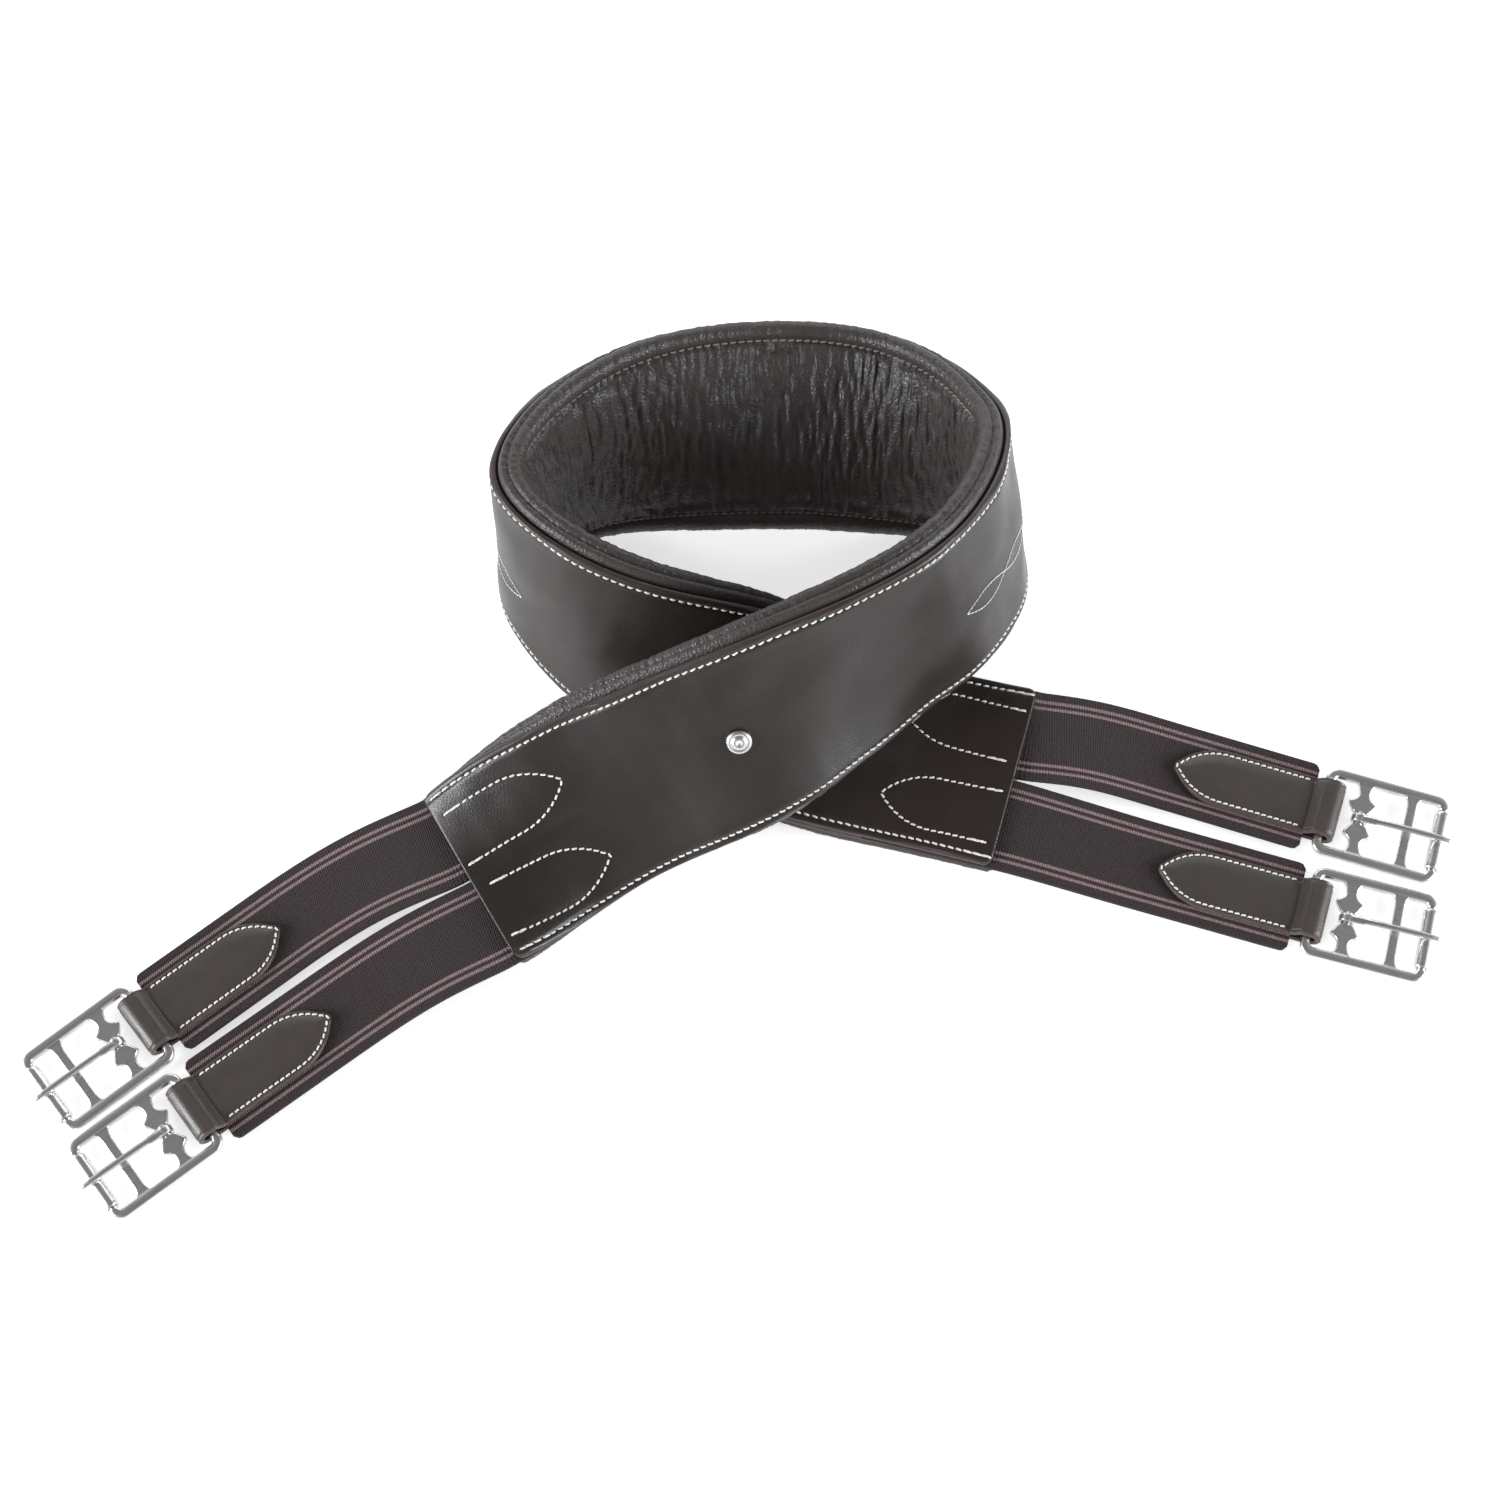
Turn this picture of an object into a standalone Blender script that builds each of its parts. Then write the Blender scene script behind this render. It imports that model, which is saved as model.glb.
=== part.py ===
"""Saddle girth: a padded leather band with two elastic straps and roller buckles at each end.

Band pieces are drawn flat and then bent: s runs along the band from its left end, v across it
towards its upper edge, and n out of the cover. Buckle pieces are drawn about the rear bar of
the frame, with x pointing away from the band and z up. Everything is in metres.
"""

import math

import bmesh
import bpy
import numpy as np
from mathutils import Matrix, Vector

MM = 0.001

# The part's origin, in mm, within the layout that the next tables are given in.
LAYOUT_CENTRE = (-0.65, -17.28)

# Resting path of the band: x, y, z of the middle of the cover in mm, and its tilt in degrees.
# Tilt 0 lays the cover face up, 90 stands the band on its lower edge.
BAND_PATH = [
    (-117, -69, 26, 3),
    (-60, -40, 41, 42),
    (-3, -24, 67, 48),
    (55, 6, 76, 66),
    (102, 49, 71, 72),
    (111, 109, 51, 91),
    (59, 139, 35, 132),
    (-5, 140, 38, 140),
    (-69, 129, 42, 113),
    (-109, 83, 51, 89),
    (-71, 31, 53, 70),
    (-12, 8, 41, 44),
    (49, -4, 20, 8),
    (112, -21, 21, 4),
]
BAND_STEPS = 44
POCKET_STEPS = 5

# Band layers, as depths below the face of the cover.
COVER_WIDTH = 82 * MM
COVER_THICK = 3 * MM
CORNER_RADIUS = 4 * MM
LAYER_GAP = 0.3 * MM
STRAP_THICK = 2.2 * MM
WEBBING_WIDTH = 80 * MM
FOAM_WIDTH = 72 * MM
ROLL_HALF_WIDTH = 46 * MM
ROLL_PLACE = (40.4 * MM, -9.7 * MM)
CORD_RADIUS = 1.7 * MM
LINING_WALL = 1.4 * MM
BAND_DEPTH = 16.3 * MM

# Elastic straps and the leather tabs (chapes) folded over them.
ELASTIC_WIDTH = 41 * MM
ELASTIC_OFFSET = 20.8 * MM
TAB_WIDTH = 26.5 * MM
TAB_THICK = 2.6 * MM
TAB_LENGTH = 73 * MM
TAB_POINT = 17 * MM
FOLD_SLACK = 1.5 * MM
FOLD_RADIUS = 2.9 * MM
ELASTIC_END = 6 * MM
FLAT_LENGTH = 66 * MM

# Buckle frame: overall size, bars and roller.
FRAME_WIDTH = 41 * MM
RAIL_HALF = 2.25 * MM
RAIL_TOP = 2.0 * MM
RAIL_BOTTOM = 2.2 * MM
CORNER_PATH_RADIUS = 3.5 * MM
REAR_BAR_RADIUS = 2.2 * MM
FRONT_BAR_RADIUS = 1.9 * MM
CUSP_BAR_X = 15.4 * MM
STRAIGHT_BAR_X = 36 * MM
FRONT_BAR_X = 49.5 * MM
ROLLER_RADIUS = 3.3 * MM
ROLLER_BORE = 2.03 * MM
ROLLER_LENGTH = 26.6 * MM
NECK_RADIUS = 1.9 * MM
EYE_BORE = 2.15 * MM
EYE_RADIUS = 3.7 * MM
EYE_WIDTH = 3.4 * MM

# Each strap: name, band end, side of the band, rear bar x and y in mm, heading of the tab and
# turn of the buckle from it in degrees, and how far the free elastic swells in mm.
STRAPS = [
    ("left_rear", "left", 1, -249.6, -124.8, 218.2, 0, 1.2),
    ("left_front", "left", -1, -226.8, -162.5, 217.2, 0, 1),
    ("right_rear", "right", 1, 245, -30.2, -18, 2, 1),
    ("right_front", "right", -1, 236.2, -75.8, -16.8, 2.4, 0),
]
FREE_STEPS = 12
MOUTH_PULL = 0.45

# Centre stud of the band.
STUD_S = 129 * MM
STUD_RADIUS = 5.5 * MM
POST_RADIUS = 1.6 * MM

FOLD_OUTER = FOLD_RADIUS + TAB_THICK
BAR_HEIGHT = FOLD_OUTER

# Depths of the layers, and the lines across the band that every layer is creased along.
WEBBING_TOP = -COVER_THICK - LAYER_GAP
LINING_TOP = WEBBING_TOP - STRAP_THICK - LAYER_GAP
FOAM_TOP = LINING_TOP - LINING_WALL - LAYER_GAP
COLUMN_SPREAD = 7.5 * MM
COLUMNS = (ELASTIC_OFFSET - COLUMN_SPREAD, ELASTIC_OFFSET + COLUMN_SPREAD)
BAND_COLUMNS = (-COLUMNS[1], -COLUMNS[0], 0, *COLUMNS)


def natural_spline(knots, samples):
    """Points of a smooth curve through evenly numbered knots."""
    count = len(knots)
    system = np.eye(count)
    pull = np.zeros_like(knots)
    for i in range(1, count - 1):
        system[i, i - 1 : i + 2] = (1, 4, 1)
        pull[i] = 6 * (knots[i - 1] - 2 * knots[i] + knots[i + 1])
    bend = np.linalg.solve(system, pull)
    place = np.linspace(0, count - 1, samples)
    left = np.minimum(place.astype(int), count - 2)
    a = (left + 1 - place)[:, None]
    b = (place - left)[:, None]
    ends = a * knots[left] + b * knots[left + 1]
    curl = (a**3 - a) * bend[left] + (b**3 - b) * bend[left + 1]
    return ends + curl / 6


def unit(vectors):
    return vectors / np.linalg.norm(vectors, axis=-1, keepdims=True)


def band_frames():
    """Distance along the band, centre, forward, across and outward directions."""
    knots = np.array(BAND_PATH, float) * (MM, MM, MM, math.pi / 180)
    curve = natural_spline(knots, 1301)
    centre = curve[:, :3] - (LAYOUT_CENTRE[0] * MM, LAYOUT_CENTRE[1] * MM, 0)
    tilt = curve[:, 3:]
    forward = unit(np.gradient(centre, axis=0))
    level = unit(np.cross((0, 0, 1), forward))
    across = np.cos(tilt) * level + np.sin(tilt) * np.cross(forward, level)
    outward = np.cross(forward, across)
    steps = np.linalg.norm(np.diff(centre, axis=0), axis=1)
    distance = np.concatenate([[0], np.cumsum(steps)])
    return distance, centre, forward, across, outward


DISTANCE, CENTRE, FORWARD, ACROSS, OUTWARD = band_frames()
BAND_LENGTH = float(DISTANCE[-1])
END_STATIONS = np.array((0.3 * CORNER_RADIUS, CORNER_RADIUS))
EXTRA_STATIONS = [*END_STATIONS, STUD_S, *(BAND_LENGTH - END_STATIONS)]
BAND_STATIONS = np.sort([*np.linspace(0, BAND_LENGTH, BAND_STEPS + 1), *EXTRA_STATIONS])


def at(table, s):
    return np.array([np.interp(s, DISTANCE, column) for column in table.T])


def band_axes(s):
    """Centre, forward, across and outward directions of the band at s."""
    forward = unit(at(FORWARD, s))
    across = at(ACROSS, s)
    across = unit(across - forward * across.dot(forward))
    return at(CENTRE, s), forward, across, np.cross(forward, across)


def band_ring(outline, s):
    """A cross-section of the band: outline points (v, n) placed at s."""
    centre, _, across, outward = band_axes(s)
    return [centre + across * v + outward * n for v, n in outline]


def material(name, colour, roughness, metallic=0.0):
    made = bpy.data.materials.new(name)
    made.use_nodes = True
    shader = made.node_tree.nodes["Principled BSDF"]
    shader.inputs["Base Color"].default_value = (*colour, 1)
    shader.inputs["Roughness"].default_value = roughness
    shader.inputs["Metallic"].default_value = metallic
    made.diffuse_color = (*colour, 1)
    return made


def mesh_object(name, mesh, look, collection):
    made = bpy.data.objects.new(name, mesh)
    if look:
        mesh.materials.clear()
        mesh.materials.append(look)
    collection.objects.link(made)
    return made


def finish_mesh(name, shape):
    bmesh.ops.recalc_face_normals(shape, faces=shape.faces)
    mesh = bpy.data.meshes.new(name)
    shape.to_mesh(mesh)
    shape.free()
    return mesh


def loft_mesh(name, rings, ring_closed=False):
    """Skin over a row of matching rings, capped at both ends unless it closes on itself."""
    shape = bmesh.new()
    rows = [[shape.verts.new(point) for point in ring] for ring in rings]
    pairs = list(zip(rows, rows[1:]))
    if ring_closed:
        pairs.append((rows[-1], rows[0]))
    else:
        shape.faces.new(rows[0])
        shape.faces.new(rows[-1])
    for near, far in pairs:
        for i in range(len(near)):
            shape.faces.new((near[i - 1], near[i], far[i], far[i - 1]))
    return finish_mesh(name, shape)


def strip_mesh(name, outline, rings):
    """Loft of a flat outline whose diagonals all run one way, so that twisted layers nest."""
    shape = bmesh.new()
    rows = [[shape.verts.new(point) for point in ring] for ring in rings]
    shape.faces.new(rows[0])
    shape.faces.new(rows[-1])
    for near, far in zip(rows, rows[1:]):
        for i in range(len(outline)):
            a, b, c, d = near[i - 1], near[i], far[i], far[i - 1]
            if outline[i][0] >= outline[i - 1][0]:
                halves = ((a, b, c), (a, c, d))
            else:
                halves = ((a, b, d), (b, c, d))
            for corners in halves:
                shape.faces.new(corners)
    return finish_mesh(name, shape)


def turned_mesh(name, profile, axis, steps=24):
    """Closed profile of (radius, height) points turned all the way round an axis."""
    side = Vector((0, 0, 1)) if axis.z == 0 else Vector((1, 0, 0))
    shape = bmesh.new()
    rings = []
    for k in range(steps):
        turn = Matrix.Rotation(2 * math.pi * k / steps, 3, axis)
        rings.append([shape.verts.new(turn @ side * r + axis * h) for r, h in profile])
    for k in range(steps):
        for i in range(len(profile)):
            near, far = rings[k - 1], rings[k]
            shape.faces.new((near[i - 1], near[i], far[i], far[i - 1]))
    bmesh.ops.remove_doubles(shape, verts=shape.verts, dist=1e-6)
    bmesh.ops.dissolve_degenerate(shape, dist=1e-6, edges=shape.edges)
    return finish_mesh(name, shape)


def slab(width, top, thick, edge, columns):
    """Outline of a flat strip with its long edges eased by edge, creased at the columns."""
    half = width / 2
    bottom = top - thick
    upper = [(-half, top - edge), (-half + edge, top), *((v, top) for v in columns)]
    upper += [(half - edge, top), (half, top - edge)]
    lower = [(half, bottom + edge), (half - edge, bottom)]
    lower += [(v, bottom) for v in reversed(columns)]
    return upper + lower + [(-half + edge, bottom), (-half, bottom + edge)]


def outer_cover(look, collection):
    """Long leather strip that carries the stitching, with rounded corners."""
    outline = slab(COVER_WIDTH, 0, COVER_THICK, 0.7 * MM, BAND_COLUMNS)
    rings = []
    for s in BAND_STATIONS:
        inside = max(0, CORNER_RADIUS - min(s, BAND_LENGTH - s))
        inset = CORNER_RADIUS - math.sqrt(CORNER_RADIUS**2 - inside**2)
        scale = 1 - inset / (COVER_WIDTH / 2)
        rings.append(band_ring([(v * scale, n) for v, n in outline], s))
    return mesh_object("outer_cover", strip_mesh("cover", outline, rings), look, collection)


def band_layer(name, outline, inset, look, collection):
    """Layer of the band that keeps one section, ending a little short of both band ends."""
    places = [inset, *BAND_STATIONS[1:-1], BAND_LENGTH - inset]
    rings = [band_ring(outline, s) for s in places]
    return mesh_object(name, strip_mesh(name, outline, rings), look, collection)


def core_webbing(look, collection):
    """Strength layer between cover and padding, ending where the elastic starts."""
    outline = slab(WEBBING_WIDTH, WEBBING_TOP, STRAP_THICK, 0.3 * MM, BAND_COLUMNS)
    first = BAND_STATIONS[POCKET_STEPS] + 0.6 * MM
    inner = BAND_STATIONS[POCKET_STEPS + 1 : -POCKET_STEPS - 1]
    rings = [band_ring(outline, s) for s in (first, *inner, BAND_LENGTH - first)]
    mesh = strip_mesh("core_webbing", outline, rings)
    return mesh_object("core_webbing", mesh, look, collection)


def lining_floor(lift):
    """Section of the padded side from one stitch groove to the other, raised by lift."""
    half = [
        (0, -BAND_DEPTH),
        (COLUMNS[0], -BAND_DEPTH + 0.2 * MM),
        (COLUMNS[1], -BAND_DEPTH + 1.1 * MM),
    ]
    line = half + [(-v, n) for v, n in half[1:]]
    return sorted((v, n + lift) for v, n in line)


def lining_outline():
    """Channel section of the lining: outside from lip to lip, then back along the inside."""
    groove = -BAND_DEPTH + 3 * MM
    outside = [
        (COLUMNS[1], LINING_TOP),
        (41.5 * MM, LINING_TOP),
        (45 * MM, -7 * MM),
        (ROLL_HALF_WIDTH, -9.5 * MM),
        (44.6 * MM, -12.6 * MM),
        (41.2 * MM, -13.7 * MM),
        (37.5 * MM, groove),
    ]
    inside = [
        (37.5 * MM, groove + LINING_WALL),
        (41 * MM, -13.7 * MM + LINING_WALL),
        (44.2 * MM, -10.2 * MM),
        (41 * MM, LINING_TOP - LINING_WALL),
        (FOAM_WIDTH / 2, LINING_TOP - LINING_WALL),
        (COLUMNS[1], LINING_TOP - LINING_WALL),
    ]
    outline = outside + lining_floor(0)[::-1] + [(-v, n) for v, n in outside[::-1]]
    outline += [(-v, n) for v, n in inside[::-1]] + lining_floor(LINING_WALL)
    return outline + inside


def foam_outline():
    """Section of the foam pad that fills the middle of the lining."""
    half = FOAM_WIDTH / 2
    floor = lining_floor(LINING_WALL + LAYER_GAP)
    outline = [(-half, FOAM_TOP), *((v, FOAM_TOP) for v in BAND_COLUMNS), (half, FOAM_TOP)]
    return outline + [(half, -11.3 * MM), *floor[::-1], (-half, -11.3 * MM)]


def roll_outline(side):
    """Section of the round cord that keeps one rolled edge of the lining full."""
    outline = []
    for k in range(6):
        angle = math.pi * (2 * k + 1) / 6
        v = side * ROLL_PLACE[0] + CORD_RADIUS * math.cos(angle)
        outline.append((v, ROLL_PLACE[1] + CORD_RADIUS * math.sin(angle)))
    return outline


def heading_axes(heading):
    """Outward, sideways and up directions of a strap lying on the ground."""
    angle = math.radians(heading)
    outward = np.array((math.cos(angle), math.sin(angle), 0))
    return outward, np.array((-outward[1], outward[0], 0)), np.array((0, 0, 1.0))


def pocket_frames(end, side):
    """Frames of the elastic inside the band, from its hidden end to the mouth."""
    frames = []
    for k in range(POCKET_STEPS, -1, -1):
        s = BAND_STATIONS[k] if end == "left" else BAND_LENGTH - BAND_STATIONS[k]
        centre, forward, across, outward = band_axes(s)
        along = -forward if end == "left" else forward
        depth = WEBBING_TOP - STRAP_THICK / 2
        middle = centre + across * side * ELASTIC_OFFSET + outward * depth
        frames.append((middle, along, outward))
    return frames


def free_frames(start, heading, bar, hump):
    """Frames of the free elastic: a drop from the band, then a straight flat run.

    On the way down it swells upwards and towards the back of the loop.
    """
    outward, sideways, up = heading_axes(heading)
    swell = (up + sideways * math.copysign(1, outward[0])) * MM
    level = bar + up * (STRAP_THICK / 2 + 0.15 * MM - FOLD_RADIUS)
    touch = level - outward * FLAT_LENGTH
    mouth, along, normal = start
    reach = np.linalg.norm(touch - mouth)
    frames = []
    for k in range(1, FREE_STEPS + 1):
        t = k / FREE_STEPS
        a = (2 * t**3 - 3 * t**2 + 1, t**3 - 2 * t**2 + t)
        b = (-2 * t**3 + 3 * t**2, t**3 - t**2)
        place = a[0] * mouth + b[0] * touch
        place = place + reach * (a[1] * MOUTH_PULL * along + b[1] * outward)
        lift = hump * math.sin(math.pi * t) ** 2
        slope_a = (6 * t**2 - 6 * t, 3 * t**2 - 4 * t + 1)
        slope_b = (-6 * t**2 + 6 * t, 3 * t**2 - 2 * t)
        way = slope_a[0] * mouth + slope_b[0] * touch
        way = way + reach * (slope_a[1] * MOUTH_PULL * along + slope_b[1] * outward)
        way = unit(way + swell * math.pi * hump * math.sin(2 * math.pi * t))
        frames.append((place + swell * lift, way, normal * (1 - t) + up * t))
    for part in (0.5, 1.0):
        rest = touch + outward * (FLAT_LENGTH - ELASTIC_END) * part
        frames.append((rest, outward, up))
    return frames


def elastic(strap, bar, look, collection):
    """Woven elastic strap from inside the band to the fold of its leather tab."""
    name, end, side, _, _, heading, _, hump = strap
    creases = (-COLUMN_SPREAD, COLUMN_SPREAD)
    outline = slab(ELASTIC_WIDTH, STRAP_THICK / 2, STRAP_THICK, 0.4 * MM, creases)
    frames = pocket_frames(end, side)
    frames += free_frames(frames[-1], heading, bar, hump)
    rings = []
    for middle, along, normal in frames:
        sideways = unit(np.cross(normal, along))
        normal = np.cross(along, sideways)
        rings.append([middle + sideways * y + normal * z for y, z in outline])
    mesh = strip_mesh("elastic", outline, rings)
    return mesh_object(f"{name}_elastic", mesh, look, collection)


def fold_line():
    """Middle line of the folded tab, as (x, z) about the rear bar, from tip to tip."""
    radius = FOLD_RADIUS + TAB_THICK / 2
    upper = -FOLD_RADIUS + 0.3 * MM + STRAP_THICK + TAB_THICK / 2
    tip = FOLD_SLACK + FOLD_OUTER - TAB_LENGTH
    line = [(tip + part * TAB_POINT, upper) for part in (0, 0.12, 0.35, 0.65, 1)]
    line += [(-30 * MM, upper), (-9 * MM, upper)]
    for part in (0.25, 0.5, 0.75, 1):
        lift = (1 - math.cos(math.pi * part)) / 2
        line.append(((-9 + 8 * part) * MM, upper + lift * (radius - upper)))
    for k in range(8):
        angle = math.pi / 2 - math.pi * k / 7
        x = FOLD_SLACK + radius * math.cos(angle)
        line.append((x, radius * math.sin(angle)))
    line += [(-30 * MM, -radius)]
    line += [(tip + part * TAB_POINT, -radius) for part in (1, 0.65, 0.35, 0.12, 0)]
    return line


def tab_half_width(x):
    """Half width of the tab, drawn in to a point at its tips."""
    tip = FOLD_SLACK + FOLD_OUTER - TAB_LENGTH
    inside = min(1.0, (x - tip) / TAB_POINT)
    return TAB_WIDTH / 2 * (0.06 + 0.94 * math.sin(inside * math.pi / 2) ** 0.8)


def tab_mesh():
    """Leather tab folded round the rear bar, one leaf above the elastic and one below."""
    line = fold_line()
    half_thick = TAB_THICK / 2
    edge = 0.5 * MM
    rings = []
    for i, (x, z) in enumerate(line):
        before = line[max(i - 1, 0)]
        after = line[min(i + 1, len(line) - 1)]
        way = Vector((after[0] - before[0], after[1] - before[1])).normalized()
        half = tab_half_width(x)
        ring = []
        for y, lift in (
            (-half, half_thick - edge),
            (-half + edge, half_thick),
            (half - edge, half_thick),
            (half, half_thick - edge),
            (half, edge - half_thick),
            (-half, edge - half_thick),
        ):
            ring.append((x - way.y * lift, y, z + way.x * lift))
        rings.append(ring)
    return loft_mesh("tab", rings)


def rail_section(kind):
    """Twelve (out, z) points: a round bar, or a rail with a domed top and a flat underside."""
    if kind == "rail":
        top = [math.pi * k / 6 for k in range(7)]
        section = [(RAIL_HALF * math.cos(a), RAIL_TOP * math.sin(a)) for a in top]
        shoulder = 0.45 * MM
        section += [
            (-RAIL_HALF, -RAIL_BOTTOM + shoulder),
            (-RAIL_HALF + shoulder, -RAIL_BOTTOM),
            (0, -RAIL_BOTTOM),
            (RAIL_HALF - shoulder, -RAIL_BOTTOM),
            (RAIL_HALF, -RAIL_BOTTOM + shoulder),
        ]
        return section
    turns = [math.pi * k / 6 for k in range(12)]
    return [(kind * math.cos(a), kind * math.sin(a)) for a in turns]


def frame_ring_mesh():
    """Outer ring of the buckle, round where the tab and the roller turn on it."""
    side = FRAME_WIDTH / 2 - RAIL_HALF
    inner = side - CORNER_PATH_RADIUS
    bar_end = inner - 0.3 * MM
    plan = []
    for way, x, radius in ((1, FRONT_BAR_X, FRONT_BAR_RADIUS), (-1, 0, REAR_BAR_RADIUS)):
        plan.append((x, -way * bar_end, way, 0, radius))
        plan.append((x, way * bar_end, way, 0, radius))
        for half in (0, 1):
            pivot_x = (x, FRONT_BAR_X - x)[half] + way * CORNER_PATH_RADIUS * (-1, 1)[half]
            for k in range(4):
                angle = math.pi / 2 * (half + k / 3)
                out_x, out_y = way * math.cos(angle), way * math.sin(angle)
                centre_x = pivot_x + out_x * CORNER_PATH_RADIUS
                centre_y = way * inner + out_y * CORNER_PATH_RADIUS
                plan.append((centre_x, centre_y, out_x, out_y, "rail"))
    rings = []
    for x, y, out_x, out_y, kind in plan:
        section = rail_section(kind)
        rings.append([(x + out_x * out, y + out_y * out, z) for out, z in section])
    return loft_mesh("frame_ring", rings, ring_closed=True)


def straight_bar_mesh():
    """Plain cross bar with a domed top, let into both side rails."""
    reach = FRAME_WIDTH / 2 - RAIL_HALF
    section = [(x * 0.96, min(z, 1.8 * MM)) for x, z in rail_section("rail")]
    rings = []
    for y in (-reach, reach):
        rings.append([(STRAIGHT_BAR_X + x, y, z) for x, z in section])
    return loft_mesh("straight_bar", rings)


def cusp_bar_mesh(side):
    """Half of the tongue bar: a flat bar that swells into a pointed lobe by the neck."""
    reach = FRAME_WIDTH / 2 - RAIL_HALF
    edge = [(2.2, reach / MM), (2.2, 10.6), (2.9, 8.9), (5.0, 7.3)]
    edge += [(4.5, 5.2), (3.5, 3.4), (2.6, 2.1)]
    outline = edge + [(-x, y) for x, y in edge[::-1]]
    shape = bmesh.new()
    verts = []
    for x, y in outline:
        point = (CUSP_BAR_X + x * MM, side * y * MM, -RAIL_BOTTOM)
        verts.append(shape.verts.new(point))
    face = shape.faces.new(verts)
    raised = bmesh.ops.extrude_face_region(shape, geom=[face])["geom"]
    top = [item for item in raised if isinstance(item, bmesh.types.BMVert)]
    bmesh.ops.translate(shape, verts=top, vec=(0, 0, RAIL_BOTTOM + 1.7 * MM))
    rim = [item for item in raised if isinstance(item, bmesh.types.BMEdge)]
    bmesh.ops.bevel(shape, geom=rim, offset=0.5 * MM, segments=1, affect="EDGES")
    return finish_mesh("cusp_bar", shape)


def neck_mesh():
    """Round neck that the tongue turns on."""
    profile = [(0, -2.6 * MM), (NECK_RADIUS, -2.6 * MM), (NECK_RADIUS, 2.6 * MM), (0, 2.6 * MM)]
    mesh = turned_mesh("neck", profile, Vector((0, 1, 0)))
    mesh.transform(Matrix.Translation((CUSP_BAR_X, 0, 0)))
    return mesh


def joined(name, meshes, collection):
    """One solid made of several that overlap."""
    pieces = [mesh_object(f"{name}_{i}", mesh, None, collection) for i, mesh in enumerate(meshes)]
    whole = pieces[0]
    for piece in pieces[1:]:
        union = whole.modifiers.new("union", "BOOLEAN")
        union.operation = "UNION"
        union.solver = "EXACT"
        union.object = piece
    graph = bpy.context.evaluated_depsgraph_get()
    mesh = bpy.data.meshes.new_from_object(whole.evaluated_get(graph))
    mesh.name = name
    for piece in pieces:
        bpy.data.objects.remove(piece)
    return mesh


def buckle_mesh(collection):
    parts = [
        frame_ring_mesh(),
        straight_bar_mesh(),
        cusp_bar_mesh(1),
        cusp_bar_mesh(-1),
        neck_mesh(),
    ]
    return joined("buckle", parts, collection)


def tongue_mesh(collection):
    """Tongue about the neck: an eye, then an arm that rests on the roller."""
    half = EYE_WIDTH / 2
    profile = [(EYE_BORE, -half), (EYE_BORE, half), (EYE_RADIUS, half), (EYE_RADIUS, -half)]
    eye = turned_mesh("eye", profile, Vector((0, 1, 0)))
    rest = ROLLER_RADIUS / MM + 0.1
    roller_x = (FRONT_BAR_X - CUSP_BAR_X) / MM
    arm = [
        (0.8, 2.95, 1.5, 0.65),
        (5, 3.3, 1.7, 0.9),
        (11, 3.8, 1.6, 1.2),
        (roller_x * 0.6, 4.3, 1.5, 1.3),
        (roller_x - 4, rest + 1.2, 1.35, 1.15),
        (roller_x + 1.5, rest + 1.1, 1.25, 1.05),
        (roller_x + 4.4, rest + 0.9, 1.1, 0.9),
        (roller_x + 5.8, rest + 0.6, 0.6, 0.45),
    ]
    rings = []
    for x, z, wide, high in arm:
        ring = []
        for k in range(8):
            angle = math.pi * (2 * k + 1) / 8
            y = wide * 1.08 * math.cos(angle)
            ring.append((x * MM, y * MM, (z + high * 1.08 * math.sin(angle)) * MM))
        rings.append(ring)
    return joined("tongue", [eye, loft_mesh("arm", rings)], collection)


def roller_mesh():
    half = ROLLER_LENGTH / 2
    ease = 0.5 * MM
    profile = [
        (ROLLER_BORE, -half),
        (ROLLER_BORE, half),
        (ROLLER_RADIUS - ease, half),
        (ROLLER_RADIUS, half - ease),
        (ROLLER_RADIUS, ease - half),
        (ROLLER_RADIUS - ease, -half),
    ]
    return turned_mesh("roller", profile, Vector((0, 1, 0)))


def placement(bar, heading, tilt):
    """Matrix from buckle space to the ground, with the frame leaning on its roller."""
    turn = Matrix.Rotation(math.radians(heading), 4, "Z")
    return Matrix.Translation(bar) @ turn @ Matrix.Rotation(tilt, 4, "Y")


def strap_set(strap, meshes, looks, collection):
    """Elastic, tab, buckle frame, tongue and roller of one strap."""
    name, _, _, x, y, heading, turn, _ = strap
    bar = np.array(((x - LAYOUT_CENTRE[0]) * MM, (y - LAYOUT_CENTRE[1]) * MM, BAR_HEIGHT))
    elastic(strap, bar, looks["elastic"], collection)
    lean = math.asin((BAR_HEIGHT - ROLLER_RADIUS) / FRONT_BAR_X)
    pieces = [
        ("tab", "leather", 0, heading, 0),
        ("buckle", "steel", 0, heading + turn, lean),
        ("tongue", "steel", CUSP_BAR_X, heading + turn, lean),
        ("roller", "steel", FRONT_BAR_X, heading + turn, lean),
    ]
    for kind, look, offset, aim, tilt in pieces:
        made = mesh_object(f"{name}_{kind}", meshes[kind], looks[look], collection)
        base = placement(bar, aim, tilt)
        made.matrix_world = base @ Matrix.Translation((offset, 0, 0))


def stud_matrix():
    centre, forward, across, outward = band_axes(STUD_S)
    frame = Matrix((forward, across, outward)).transposed().to_4x4()
    return Matrix.Translation(centre) @ frame


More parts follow.
